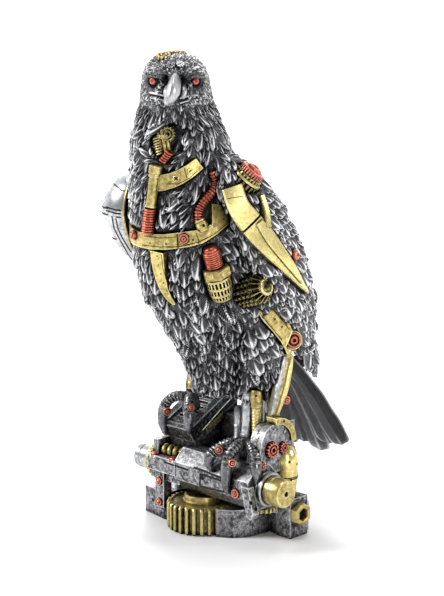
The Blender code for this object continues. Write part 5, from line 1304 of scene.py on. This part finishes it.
def blade_stretch(start, end, count):
    """The blade between two shares of its length."""
    line = smooth_curve([mm(*point) for point, _, _ in BLADE_LINE], BLADE_STEPS + 1)
    ways = smooth_curve([Vector(way) for _, way, _ in BLADE_LINE], BLADE_STEPS + 1)
    halves = smooth_values([half for _, _, half in BLADE_LINE], BLADE_STEPS + 1)
    chosen = [round((start + (end - start) * k / (count - 1)) * BLADE_STEPS) for k in range(count)]
    return ribbon([line[k] for k in chosen], [ways[k] for k in chosen], [halves[k] * MM for k in chosen],
                  4, 0.3, 0.9)


def wing_works():
    """The brass plate and blade on the left wing, and the red roller."""
    plate = remade("wing_plate", [blade_stretch(0.0, 0.302, 20)], PALE_BRASS, 34)
    strip = smooth_curve([mm(*place) for place in BLADE_STRIP], 12)
    widths = [(1.9 + 0.5 * k / 11) * MM for k in range(12)]
    bar = ribbon(strip, [X_AXIS] * 12, widths, 3.4, 0, 0.6)
    blade = remade("wing_blade", [blade_stretch(0.313, 1.0, 60), bar], PALE_BRASS, 34)
    laid = [seen(blade, *pixel) for pixel in SECOND_PLATE_LINE]
    second = smooth_curve([p + n * (0.3 * MM) for p, n in laid], 30)
    outs = smooth_curve([n for _, n in laid], 30)
    widths = [w * MM for w in smooth_values((2.6, 3.4, 3.2, 2.4, 0.5), 30)]
    piece("wing_second_plate", [ribbon(second, outs, widths, 1.8, 0.2, 0.4)], PALE_BRASS, 34)
    engrave(plate, 0.3, PLATE_SEAM)
    drill(blade, 0.9, *BLADE_HOLES)
    way = Vector((0.92, 0.36, 0.15)).normalized()
    roller = [(3.3, -2), (3.3, 1.6), (3.0, 2.0), (3.2, 2.4), (2.6, 3.0), (1.4, 3.3), (1.1, 2.6), (0.3, 2.6)]
    remade("wing_roller", [lathed(mm(51.5, 9, 179), way, roller, 24)], COPPER)


def shoulder_works():
    """The stack on the left shoulder: a gear, a ring and a red cap."""
    axis = Vector((0.55, 0.35, 0.74)).normalized()
    seat = mm(43.5, -23.5, 227)
    teeth = [(9.0, -4.4, 1), (9.7, -3.9, 1), (9.7, -0.9, 1), (9.2, -0.4, 1), (7.0, -0.4, 0)]
    ring = [(9.2, -0.3, 0), (9.7, 0, 0), (9.7, 1.1, 0), (8.9, 1.4, 0), (8.6, 1.5, 1), (8.6, 3.0, 1),
            (7.2, 3.3, 0)]
    cap = [(7.2, 3.2, 1), (7.5, 3.6, 1), (7.5, 6.2, 1), (7.0, 6.9, 0), (6.2, 7.1, 0), (5.8, 6.7, 0),
           (5.0, 6.9, 0), (4.4, 8.5, 0), (2.2, 9.1, 0), (1.9, 8.2, 0), (0.8, 8.2, 0)]
    remade("shoulder_gear", [toothed(seat, axis, 18, 0.2, teeth)], GILT, 30, 0.15)
    remade("shoulder_ring", [toothed(seat, axis, 22, 0.12, ring)], BRASS, 30, 0.12)
    remade("shoulder_cap", [toothed(seat, axis, 26, 0.1, cap)], COPPER, 30, 0.12)


def valve():
    """The red coil on the flank, and under it the nut and the cage with its windows."""
    top, foot = mm(33.1, -43.3, 187.5), mm(31.6, -30.1, 152)
    axis = (foot - top).normalized()
    start, end = top + axis * (2.2 * MM), top + axis * (12.8 * MM)
    core = [(2.0, 0), (4.0, 0.6), (4.4, 2), (4.4, 12.9)]
    winding = [helix(start, end, 4.75 * MM, 0.72 * MM, 8), lathed(top, axis, core, 20)]
    piece("valve_coil_winding", winding, COPPER, 60, replaces=("valve_coil",))
    nut = [(8.0, 0), (9.0, 0.9), (9.0, 5.7), (8.0, 6.6)]
    bands = [(6.6, 6.4, 0), (7.8, 6.7, 0), (7.8, 7.8, 0), (7.4, 8.0, 1), (7.4, 11.6, 1), (7.5, 11.8, 0),
             (7.5, 13.0, 0), (7.0, 13.2, 1), (6.9, 16.2, 1), (7.0, 16.4, 0), (6.9, 17.6, 0), (6.3, 17.8, 1),
             (6.0, 19.8, 1), (6.0, 20.0, 0), (5.4, 21.3, 0)]
    base = top + axis * (13.2 * MM)
    piece("valve_nut", [lathed(base, axis, nut, 6)], BRASS, 20, 0.3)
    remade("valve_cage", [toothed(base, axis, 20, 0.2, bands)], BRASS, 30)


def hip_works():
    """The bevel gear on the hip with its bright rim, and the stacked pinion behind it."""
    axis = Vector((0.94, 0.0, 0.3)).normalized()
    face = mm(51, -15, 162.5)
    cone = [(5.0, -5.6, 0), (8.6, -5.4, 1), (9.4, -4.6, 1), (9.2, -3.4, 1), (5.9, 0.6, 1), (4.6, 0.8, 0)]
    hub = [(4.6, -8), (4.6, 0.5)]
    gear = [lathed(face, axis, hub, 24), toothed(face, axis, 15, 0.42, cone, 0.28)]
    remade("bevel_gear", gear, GILT, 30, 0.15)
    rim = [(5.2, -0.5), (5.4, 1.0), (4.9, 1.7), (4.1, 1.7), (3.5, 1.0), (3.3, -0.4)]
    piece("bevel_rim", [lathed(face, axis, rim, 28)], PALE_BRASS)
    # The inside of the rim, as a dark plug of painted shade.
    SHADE_BITS.append(lathed(face, axis, [(3.4, -0.6), (3.4, 0.4), (1.5, 0.5), (1.2, 1.2)], 20))
    stack = []
    for rise in (0.2 + 3.4 * k for k in range(4)):
        stack += [(8.0, rise, 1), (9.2, rise + 0.4, 1), (9.2, rise + 1.7, 1), (8.0, rise + 2.1, 1),
                  (5.8, rise + 2.3, 0), (5.8, rise + 3.2, 0)]
    remade("hip_pinion", [toothed(face - axis * (19.5 * MM), axis, 15, 0.26, stack)], GILT, 30, 0.12)


# The legs.

THIGH_HOLES = ((275, 319), (282, 327), (266, 312))
THIGH_LINES = ((0.36, ((262, 316), (272, 328), (282, 340))), (0.3, ((272, 309), (283, 321), (289, 329))))
LEG_PIPE_HOLE = (256, 396)
SHIN_PLACES = ((41.3, 15.6, 115.2), (41, 11.5, 100), (40, 8, 88), (38.5, 1, 67.5))
SHIN_HALVES = (3.8, 4.6, 5.0, 5.2, 4.6, 3.2, 1.2)
SHIN_STEPS = 30
LEG_TUBE_TOPS = (mm(25, -1, 106), mm(28, 7, 106))
TOE_SIZES = (3.5, 3.3, 3.4, 3.3, 3.5, 3.1, 2.2, 0.5)
CLAW_FROM = 60
TOE_BOSSES = (("left", 1, (219, 450), 2.7), ("left", 2, (232, 463), 2.6),
              ("right", 1, (170, 413), 2.9), ("right", 2, (191, 408), 2.3))


def knee_works():
    plate = refined("thigh_plate", BRASS)
    drill(plate, 0.7, *THIGH_HOLES)
    for radius, pixels in THIGH_LINES:
        engrave(plate, radius, pixels)
    centre, way = mm(40.5, 19.6, 124), Vector((0.9, -0.42, 0.1)).normalized()
    tyre = [(5.8, -1, 1), (6.4, -0.6, 1), (6.4, 3.2, 1), (6.0, 3.8, 0), (5.2, 3.9, 0), (4.8, 2.4, 0)]
    disc = [(4.9, 1.5), (4.9, 4.3), (4.5, 5.0), (3.9, 5.0), (3.5, 3.9), (3.0, 3.9), (2.6, 5.4), (2.1, 5.9),
            (1.3, 5.9), (1.0, 4.6), (0.3, 4.6)]
    remade("knee_wheel", [toothed(centre, way, 24, 0.12, tyre)], BRASS, 30, 0.1)
    piece("knee_disc", [lathed(centre, way, disc, 32)], COPPER)


def shin_works():
    """The brass blade down the left shin, with a silver strip and a pale rib on it."""
    line = smooth_curve([mm(*place) for place in SHIN_PLACES], SHIN_STEPS)
    halves = [half * MM for half in smooth_values(SHIN_HALVES, SHIN_STEPS)]
    way = Vector((0.86, -0.5, 0)).normalized()
    side = Z_AXIS.cross(way).normalized()
    remade("shin_blade", [ribbon(line, [way] * SHIN_STEPS, halves, 3.8, 0, 0.7)], BRASS, 34)
    left = [p - side * (h * 0.5) + way * (1.2 * MM) for p, h in zip(line, halves)][1:-1]
    right = [p + side * (h * 0.52) + way * (1.0 * MM) for p, h in zip(line, halves)][2:-3]
    strip = ribbon(left, [way] * len(left), [h * 0.40 for h in halves[1:-1]], 2.6, 0.3, 0.5)
    rib = ribbon(right, [way] * len(right), [h * 0.3 for h in halves[2:-3]], 2.4, 0.3, 0.4)
    piece("shin_strip", [strip], SILVER, 34)
    piece("shin_rib", [rib], PALE_BRASS, 34)
    bolt("shin_ring", mm(42.2, 13.6, 87), Vector((0.95, -0.3, 0)), 2.7, 1.8)


def pipe_works():
    """The ribbed leg pipe, the right shin's sleeve and the pillar between the legs."""
    pipe = [(1.6, 0), (3.0, 0.7), (3.7, 2.2), (3.8, 8.6), (3.4, 9.3), (3.4, 9.9), (3.6, 10.3), (3.6, 11.2),
            (3.0, 11.6)]
    for rise in (12.2 + 2.0 * k for k in range(9)):
        pipe += [(2.8, rise), (3.1, rise + 0.35), (3.1, rise + 1.2), (2.8, rise + 1.5)]
    pipe.append((2.8, 31))
    made = remade("leg_pipe", [lathed(mm(31.5, -1.8, 95), Vector((0.02, 0, -1)), pipe, 20)], BRASS)
    drill(made, 0.8, LEG_PIPE_HOLE)
    high = mm(-23.5, -2, 96)
    shin = [(2.4, 0), (3.4, 1.2), (3.7, 2.4), (3.7, 5.4), (3.3, 5.9), (3.5, 6.4), (3.5, 7.2), (3.0, 7.8),
            (2.9, 10.5)]
    remade("right_shin", [lathed(high, RIGHT_ANKLE - high, shin, 20)], BRASS)
    post = [(3.4, 0), (3.4, 12), (3.7, 12.4), (3.7, 13.6), (3.3, 14), (3.3, 20), (3.6, 20.4), (3.6, 21.6),
            (3.3, 22), (3.3, 29), (2.7, 32), (1.0, 34)]
    remade("pillar", [lathed(mm(14, 1, 47), Z_AXIS, post, 24)], SILVER)


def toe(ankle, *values):
    """A toe ringed with scutes, and its hooked claw."""
    line = toe_line(ankle, *values)
    bases = smooth_values(TOE_SIZES, TOE_STEPS)
    length = sum((b - a).length for a, b in zip(line[:CLAW_FROM], line[1:CLAW_FROM]))
    rings = round(length / (2.2 * MM))
    radii = []
    for k in range(CLAW_FROM):
        phase = (k / (CLAW_FROM - 1) * rings) % 1.0
        radii.append((bases[k] + 0.4 - 0.95 * phase**1.8) * MM)
    radii[-1] = (bases[CLAW_FROM] - 0.4) * MM
    overlap = CLAW_FROM - 4
    taper = [(base * 1.05 + 0.2) * MM for base in bases[overlap:]]
    return tube(line[:CLAW_FROM], radii, 16), tube(line[overlap:], taper, 14)


def leg_tube(foot, top):
    length = (top - foot).length / MM
    profile = [(3.8, 0), (3.8, 4), (4.1, 4.3), (4.1, 5.6), (3.8, 6), (3.8, length * 0.6),
               (4.1, length * 0.62), (4.1, length * 0.7), (3.8, length * 0.72), (3.8, length)]
    return lathed(foot, top - foot, profile, 18)


def foot(name, ankle, toes):
    """A foot's toes and its claws."""
    made = [toe(ankle, *values) for values in toes]
    piece(name + "_toes", [scutes for scutes, _ in made], CLAW, 45)
    piece(name + "_claws", [claw for _, claw in made], TALON, 60)


def feet():
    """The two feet, the tubes of the left leg and the bosses on the toes."""
    foot("left", LEFT_ANKLE, LEFT_TOES)
    feet_at = (LEFT_ANKLE + mm(-1.5, 0, -2), LEFT_ANKLE + mm(1.5, 6, -3))
    piece("left_leg_tubes", [leg_tube(foot, top) for foot, top in zip(feet_at, LEG_TUBE_TOPS)], SILVER)
    foot("right", RIGHT_ANKLE, RIGHT_TOES)
    view = Vector((0.62, -0.72, 0.3)).normalized()
    for side, number, pixel, radius in TOE_BOSSES:
        point, normal = seen(bpy.data.objects[side + "_toes"], *pixel)
        name = f"{side}_toe_boss_{number}"
        bolt(name, point - normal * (0.3 * MM), (normal + view).normalized(), radius, 2.2, 2.5)


# The plinth.

FRONT = -Y_AXIS
BOLTS = (("barrel_bolt", mm(36, -24, 34), FRONT, 3.0),
         ("post_bolt_high", mm(-33.5, -23.5, 26.5), FRONT, 2.5),
         ("post_bolt_low", mm(-33.5, -23.5, 12.5), FRONT, 2.5),
         ("rail_screw_left", mm(-39, -22, 43), Z_AXIS, 2.5),
         ("rail_screw_right", mm(-22, -22, 43), Z_AXIS, 2.5),
         ("case_screw", mm(45.5, -10.8, 50.4), X_AXIS, 2.5))
KNOB_AT, COLLAR_AT = mm(-48.4, -12, 36), mm(-47.9, -12, 36)
CAP_AT, CAP_RING_AT = mm(51.45, -8.5, 36), mm(46.1, -8.5, 36)
NUT_AT, TANK_AT, DRIVE_AT = mm(51, 16, 15.5), mm(42.3, 12.8, 26), mm(-7, -11, 0)
CASE_RIM_HOLE = (284, 421)
TANK_HOLES = ((289.5, 462), (297, 464), (291, 480))
PANEL_LINES = (((194, 467.5), (207, 472), (221, 478)), ((200, 474), (200, 486)), ((200, 474), (224, 481.5)),
               ((200, 486), (224, 492)), ((224, 481.5), (224, 492)), ((164, 462), (188, 470)))
PANEL_HOLES = ((202.5, 478), (153, 500), (251, 503), (256, 509), (273, 480))
CASE_BAR = ((262, 468), (283, 461))
GRILLE_DARK_LINE = ((203, 434), (222, 412), (243, 390))
GRILLE_LIGHT_LINE = ((202, 431), (221, 409), (242, 387))
GRILLE_STRIP = ((212, 437), (229, 420))
GRILLE_STRIP_RIBS = 9
GRILLE_HOLES = (((199, 433), 0.9), ((239, 388), 0.7))
# The panels on the hidden sides, in millimetres.
BACK_PANEL = ((-36, 0, 22), (-36, 0, 45), (-6, 0, 45), (-6, 0, 22), (-36, 0, 22))
BACK_HOLES = ((-33, 0, 25), (-33, 0, 42), (-9, 0, 25), (-9, 0, 42))
BACK_PANEL_SHIFTS = (0, 38)
SIDE_PANEL = ((0, 6, 24), (0, 6, 44), (0, 30, 44), (0, 30, 24), (0, 6, 24))
SIDE_HOLES = ((0, 9, 27), (0, 9, 41), (0, 27, 27), (0, 27, 41))
BACK_BASE_LINE = ((-44, 0, 5), (38, 0, 5))
SIDE_BASE_LINE = ((0, -8, 5), (0, 30, 5))


def barrel_works():
    """What is on the barrel: bolts, the spring in its cradle, the knob and the cap."""
    for name, place, way, radius in BOLTS:
        bolt(name, place, way, radius, 1.8)
    spring("cradle_spring", mm(-38, -14.4, 44.6), mm(-20.7, -14.4, 44.6), 4.6, 1.75, 3.4, BRASS)
    knob = [(6.6, -14.1), (7.6, -14.1), (8.3, -13.2), (8.3, -9.6), (7.9, -9.2), (7.9, -8.6), (8.3, -8.2),
            (8.3, 0)]
    remade("knob", [lathed(KNOB_AT, X_AXIS, knob, 40)], SILVER)
    # The hole in the knob's end, as a dark plug of painted shade.
    SHADE_BITS.append(lathed(KNOB_AT, -X_AXIS, [(2.2, 13.8), (2.2, 14.2), (1.0, 14.3)], 16))
    collar = [(10.6, 0, 0), (11.4, 0.2, 1), (11.5, 3.3, 1), (10.8, 3.5, 0), (8.8, 3.5, 0)]
    remade("knob_collar", [toothed(COLLAR_AT, X_AXIS, 30, 0.06, collar)], BRASS, 30, 0.1)
    cap = [(8.5, 0), (8.8, 0.4), (8.8, 3.2), (8.5, 3.4), (8.5, 3.9), (8.8, 4.1), (8.8, 10.9), (8.2, 11.9),
           (7.4, 12), (7.1, 11.6), (2.9, 11.6), (2.6, 12), (1.7, 12), (1.4, 10.8), (0.6, 10.8)]
    remade("end_cap", [lathed(CAP_AT, X_AXIS, cap, 40)], BRASS)
    # The hole in the cap, as a dark plug of painted shade.
    SHADE_BITS.append(lathed(CAP_AT, X_AXIS, [(1.5, 10), (1.5, 11.2)], 12))
    ring = [(10.2, 0), (10.7, 0.3), (10.7, 1.5), (10.2, 1.9), (10.2, 2.3), (10.7, 2.7), (10.7, 4.6),
            (10.0, 5.2), (8.6, 5.2)]
    piece("cap_ring", [lathed(CAP_RING_AT, X_AXIS, ring, 40)], SILVER)


def drive_gear():
    """The big gear under the barrel, with rounded teeth, and its hub with a bowl."""
    wheel = [(21.6, 0.2, 1), (22.5, 1.2, 1), (22.5, 16.4, 1), (21.8, 17.4, 1), (19.4, 17.5, 0),
             (19.0, 16.6, 0), (12.6, 16.6, 0)]
    bowl = [(12.2, 15), (12.2, 18.2), (11.5, 18.6), (11.5, 20.2), (11.0, 21.6), (10.2, 21.8), (9.4, 21.4),
            (8.2, 19.2), (3, 18.4)]
    gear = [toothed(DRIVE_AT, Z_AXIS, 28, 0.125, wheel, 0.48), lathed(DRIVE_AT, Z_AXIS, bowl, 48)]
    remade("drive_gear", gear, BRASS, 30, 0.25)


def case_works():
    """What is on the gear case and beside it: the nut, the small gears, the rim and the canister."""
    nut = [(7.0, -1), (7.5, -0.4), (7.5, 4.4), (6.9, 5.0), (4.6, 5.0), (4.2, 4.2), (3.9, 1.2), (1.0, 1.2)]
    remade("hex_nut", [lathed(NUT_AT, X_AXIS, nut, 6, Z_AXIS)], BRASS, 20, 0.3)
    # The nut's hole, as a dark plug of painted shade.
    SHADE_BITS.append(lathed(NUT_AT, X_AXIS, [(3.9, 1), (3.9, 1.6)], 20))
    remade("case_gear_large", [spur_gear(mm(44.5, -3.2, 59.2), X_AXIS, 5.2, 3.4, 14)], COPPER, 30, 0.12)
    remade("case_gear_small", [spur_gear(mm(44.5, 7.0, 58.8), X_AXIS, 3.6, 3.4, 11)], COPPER, 30, 0.12)
    remade("small_gear", [spur_gear(mm(37, -1.5, 18.4), Z_AXIS, 9, 2.9, 18)], BRASS, 30, 0.15)
    drill(refined("case_rim", BRASS), 0.9, CASE_RIM_HOLE)
    tank = [(6.9, 0), (7.6, 5), (8.5, 12.5), (8.6, 14), (8.6, 22), (8.2, 26), (7.0, 29.6), (5.4, 31.8),
            (3.1, 33.5)]
    made = remade("canister", [lathed(TANK_AT, Z_AXIS, tank, 40)], PALE_BRASS, 40)
    # The cut round the canister, as two dark lines of painted shade.
    for height in (12.2, 13.3):
        SHADE_BITS.append(tube([TANK_AT + mm(8.5 * math.cos(a), 8.5 * math.sin(a), height)
                               for a in (2 * math.pi * k / 36 for k in range(37))], 0.35 * MM, 6))
    drill(made, 0.8, *TANK_HOLES)


def block_works():
    """The engine block with its engraved panels, and the grille box with its strips."""
    block_made = refined("engine_block", IRON, 0.6)
    # The grille box in the darker iron, as painted shade under the bird.
    grille = refined("grille_box", SHADED_IRON)
    engrave(block_made, 0.8, *PANEL_LINES)
    drill(block_made, 1.3, *PANEL_HOLES)
    engrave(grille, 0.6, GRILLE_DARK_LINE)
    SILVER_BITS.append(groove([seen(grille, *pixel) for pixel in stops(GRILLE_LIGHT_LINE)], 0.35))
    for pixel, radius in GRILLE_HOLES:
        drill(grille, radius, pixel)
    (start, out), (end, _) = (seen(grille, *pixel) for pixel in GRILLE_STRIP)
    run = end - start
    aside = run.cross(out).normalized()
    STRIP_BITS.append(block((start + end) / 2, run / 2, aside * (1.9 * MM), out * (0.5 * MM)))
    for k in range(GRILLE_STRIP_RIBS):
        middle = start + run * ((k + 0.5) / GRILLE_STRIP_RIBS) + out * (0.5 * MM)
        STRIP_BITS.append(tube([middle + aside * (s * MM) for s in (-1.7, 0, 1.7)], 0.42 * MM, 8))
    for shift in BACK_PANEL_SHIFTS:
        panel, holes = ([(x + shift, y, z) for x, y, z in places] for places in (BACK_PANEL, BACK_HOLES))
        engrave_side(block_made, 0.7, Y_AXIS, panel)
        drill_side(block_made, 1.0, Y_AXIS, *holes)
    engrave_side(block_made, 0.4, Y_AXIS, BACK_BASE_LINE)
    engrave_side(block_made, 0.4, -X_AXIS, SIDE_BASE_LINE)
    engrave_side(block_made, 0.7, -X_AXIS, SIDE_PANEL)
    drill_side(block_made, 1.0, -X_AXIS, *SIDE_HOLES)
    (bar_start, _), (bar_end, _) = (seen(block_made, *pixel) for pixel in CASE_BAR)
    SILVER_BITS.append(tube([bar_start, bar_start.lerp(bar_end, 0.5), bar_end], 0.9 * MM, 10))


# The tail and the flight feathers, as (root, bend, tip, outward way).

VANE_ROWS, VANE_COLUMNS = 40, 11
BARB_PITCH = 2.1 * MM
BARB_MARK = 13 * MM
FLIGHT_FEATHERS = 7
# The half width and half depth of a vane, and the share of its length from which its tip is rounded.
TAIL_VANE = (10.5 * MM, 2.3 * MM, 0.9)
FLIGHT_VANE = (5.6 * MM, 2.0 * MM, 0.8)


def vane_layers(vane, half_width, half_depth, blunt, share, aside, phase):
    """The points of the two faces of a long feather, with the shaft and the barbs on each."""
    root, bend, tip, out = vane
    out = np.array(out)
    line = np.array([tuple(p) for p in smooth_curve([root, bend, tip], VANE_ROWS)])
    side = np.cross(np.gradient(line, axis=0), out)
    side /= np.linalg.norm(side, axis=1)[:, None]
    width = half_width * np.minimum(1, 0.55 + 0.6 * share)
    width = width * np.sqrt(np.clip(1 - np.clip((share - blunt) / (1 - blunt), 0, 1) ** 2.4, 0.004, 1))
    width = width * (1 + 0.035 * np.sin(share * 31 + phase) * np.abs(aside))
    depth = half_depth * (1.15 - 0.7 * share) * (1 - 0.8 * aside**2)
    shaft = 0.75 * MM * np.exp(-((aside * 6.5) ** 2)) * (1 - 0.6 * share)
    barbs = np.sin(share * (tip - root).length / BARB_PITCH * 2 * math.pi - np.abs(aside) * 9 + phase)
    barbs = 0.09 * MM * barbs * (1 - aside**4)
    spread = line[:, None, :] + side[:, None, :] * (width * aside)[..., None]
    return (spread + out * (depth + (shaft + barbs))[..., None],
            spread - out * (depth + (0.6 * shaft + barbs))[..., None])


def vane_piece(name, vanes, half_width, half_depth, blunt):
    """Long feathers in one mesh: each a closed vane with a shaft and barbs on both faces."""
    rows, columns = VANE_ROWS, VANE_COLUMNS
    share = np.linspace(0.0, 1.0, rows)[:, None]
    aside = np.linspace(-1.0, 1.0, columns)[None, :]
    grid = grid_faces(rows, columns)
    rim = [r * columns + c for r, c in grid_rim(rows, columns)]
    glow = np.maximum(np.abs(aside) ** 8 * 0.3, np.exp(-((aside * 10) ** 2)) * 0.18)
    glow = np.clip(glow + np.clip((share - 0.85) / 0.15, 0, 1) * 0.2 + 0.44, 0, 1)
    points, faces, labels = [], [], [[] for _ in FEATHER_LABELS]
    for vane in vanes:
        phase = RANDOM.uniform(0, 6.28)
        high, low = len(points), len(points) + rows * columns
        for laid in vane_layers(vane, half_width, half_depth, blunt, share, aside, phase):
            points.extend(laid.reshape(-1, 3).tolist())
            lift = np.clip(glow + RANDOM.normal(0, 0.05), 0, 1)
            along = share * ((vane[2] - vane[0]).length / BARB_MARK)
            tone = RANDOM.uniform(0, 0.5) + share * 0.3
            for values, found in zip((lift, along, np.abs(aside) * 3.2, tone), labels):
                found.append(np.broadcast_to(values, (rows, columns)).ravel())
        faces += [tuple(high + i for i in face) for face in grid]
        faces += [tuple(low + i for i in face[::-1]) for face in grid]
        faces += [(high + j, high + i, low + i, low + j) for i, j in zip(rim, rim[1:] + rim[:1])]
    plumed(name, points, faces, [np.concatenate(values) for values in labels])


def tail_feathers():
    """The long feathers of the tail, in a fan."""
    made = []
    middle = (TAIL_FEATHERS - 1) / 2
    for k in range(TAIL_FEATHERS):
        share = (k - middle) / middle
        spread = TAIL_SPREAD * share
        way = Vector((math.sin(spread), math.cos(spread) * TAIL_WAY.y, math.cos(spread) * TAIL_WAY.z))
        root = mm(9 * share, 33, 125 - 3 * share * share) - TAIL_OUT * (abs(share) * 2 * MM)
        shorter = 0.12 * share * share + (0.05 if k % 2 else 0.0)
        tip = root + way * (TAIL_LENGTH * (1 - shorter))
        made.append((root, (root + tip) / 2 + mm(0, 3, 2), tip, TAIL_OUT))
    return made


def flight_feathers(side):
    """The long feathers of a folded wing's end: they lie over its outer face and draw together at its tip."""
    out = Vector((side * 0.93, 0.36, 0.08)).normalized()
    root_at, bend_at, tip_at = mm(side * 43.5, 15, 163), mm(side * 38, 34, 136), mm(side * 20.5, 59, 97)
    chord = Vector((side * -0.33, 0.72, 0.60)).normalized()
    made = []
    for k in range(FLIGHT_FEATHERS):
        aside = (k - 3) * 4.3 * MM
        early = 0.075 * abs(k - 1.5)
        root = root_at + chord * aside + out * (0.5 * k * MM)
        bend = bend_at + chord * (aside * 0.8) + out * ((1.2 + 0.3 * k) * MM)
        tip = tip_at.lerp(bend_at, early) + chord * (aside * 0.35) + out * (0.8 * MM)
        made.append((root, bend, tip, out))
    return made


for make in (beak, eyes, head_gears, neck_works, breast_works, hose, armour, wing_works, shoulder_works,
             valve, hip_works, knee_works, shin_works, pipe_works, feet, barrel_works, drive_gear,
             case_works, block_works):
    make()
vane_piece("tail", tail_feathers(), *TAIL_VANE)
vane_piece("left_flight_feathers", flight_feathers(1), *FLIGHT_VANE)
vane_piece("right_flight_feathers", flight_feathers(-1), *FLIGHT_VANE)
# The painted shade of holes, grooves, slots and sockets, in one dark piece.
piece("painted_shade_details", SHADE_BITS, SHADE_PAINT, 40)
piece("silver_details", SILVER_BITS, SILVER, 40)
piece("ribbed_strip", STRIP_BITS, GILT, 40)


# The rest of the frame, each node in its finish.

FINISH_OF = {"silver_feathers": IRON, "polished_silver": SILVER, "dark_iron": IRON, "brass": BRASS,
             "copper": COPPER}
for made in NODES.values():
    if made.hide_render:
        continue
    slot = made.data.materials[0].name.split(".")[0] if made.data.materials else "dark_iron"
    made.data.materials.clear()
    made.data.materials.append(FINISH_OF.get(slot, IRON))
    soften(made, 0.35)


# Stage, light and camera. Lengths are in metres.

FLOOR_REACH = 4.0
WALL_AT = 0.9
WALL_TOP = 4.0
WALL_BEND = 0.5
BEND_STEPS = 12
SENSOR_WIDTH = 36
ROOM_GLOW, SEEN_GLOW = 0.22, 0.78
# The lights: name, place, size and watts.
LIGHTS = (("key", (-0.9, -1.0, 1.05), 0.5, 27), ("fill", (1.3, -0.5, 0.35), 0.4, 3.5),
          ("side", (1.3, 0.75, 0.7), 0.4, 10), ("top", (0.1, 0.1, 1.6), 0.5, 8),
          ("rim", (-0.9, 0.9, 0.9), 0.6, 8))


def floor_paint():
    """A pale floor that glows more and more with the distance from the figure."""
    material, tree = new_paint("floor_paint")
    shader = tree.nodes["Principled BSDF"]
    shader.inputs["Base Color"].default_value = (0.80, 0.80, 0.81, 1)
    shader.inputs["Roughness"].default_value = 0.45
    shader.inputs["Emission Color"].default_value = (1, 1, 1, 1)
    reach = node(tree, "ShaderNodeVectorMath", operation="LENGTH")
    link(tree, node(tree, "ShaderNodeTexCoord").outputs["Object"], reach.inputs[0])
    glow = maths(tree, "MULTIPLY", ramp(tree, reach.outputs["Value"], 0.12, 0.75), 0.7)
    link(tree, glow, shader.inputs["Emission Strength"])
    return material


def stage():
    """The floor, which bends up into a wall behind the figure."""
    profile = [(-FLOOR_REACH, 0), (WALL_AT, 0)]
    profile += [(WALL_AT + WALL_BEND * math.sin(a), WALL_BEND - WALL_BEND * math.cos(a))
                for a in (math.pi / 2 * k / BEND_STEPS for k in range(1, BEND_STEPS + 1))]
    profile.append((WALL_AT + WALL_BEND, WALL_TOP))
    away = Vector((-math.sin(CAMERA_HEADING), math.cos(CAMERA_HEADING), 0))
    aside = away.cross(Z_AXIS)
    points = [away * d + Z_AXIS * z + aside * s for d, z in profile for s in (-FLOOR_REACH, FLOOR_REACH)]
    faces = [(2 * k, 2 * k + 1, 2 * k + 3, 2 * k + 2) for k in range(len(profile) - 1)]
    mesh = bpy.data.meshes.new("floor")
    mesh.from_pydata(points, [], faces)
    mesh.shade_smooth()
    mesh.materials.append(floor_paint())
    made = linked("floor", mesh)


def soft_light(name, place, size, power):
    lamp = bpy.data.lights.new(name, "AREA")
    lamp.shape = "SQUARE"
    lamp.size = size
    lamp.energy = power
    made = linked(name, lamp)
    made.location = place
    made.rotation_mode = "QUATERNION"
    made.rotation_quaternion = (CAMERA_TARGET - Vector(place)).to_track_quat("-Z", "Y")


def photo_camera():
    lens = bpy.data.cameras.new("photo_camera")
    lens.sensor_width = SENSOR_WIDTH
    lens.lens = FOCAL_PIXELS * SENSOR_WIDTH / FRAME_HEIGHT
    lens.shift_y = (TARGET_ROW - FRAME_HEIGHT / 2) / FRAME_HEIGHT
    made = linked("photo_camera", lens)
    made.location = CAMERA_AT
    made.rotation_mode = "QUATERNION"
    made.rotation_quaternion = (-CAMERA_BACK).to_track_quat("-Z", "Y")
    bpy.context.scene.camera = made


def light_room():
    """A room that looks white to the camera and lights the figure dimly, and five soft lights."""
    world = bpy.data.worlds.new("room")
    world.use_nodes = True
    tree = world.node_tree
    room = tree.nodes["Background"]
    room.inputs["Color"].default_value = (1, 1, 1, 1)
    to_camera = node(tree, "ShaderNodeLightPath").outputs["Is Camera Ray"]
    seen_glow = maths(tree, "MULTIPLY", to_camera, SEEN_GLOW)
    link(tree, maths(tree, "ADD", seen_glow, ROOM_GLOW), room.inputs["Strength"])
    bpy.context.scene.world = world
    for values in LIGHTS:
        soft_light(*values)
    bpy.context.scene.view_settings.view_transform = "Standard"


stage()
light_room()
photo_camera()
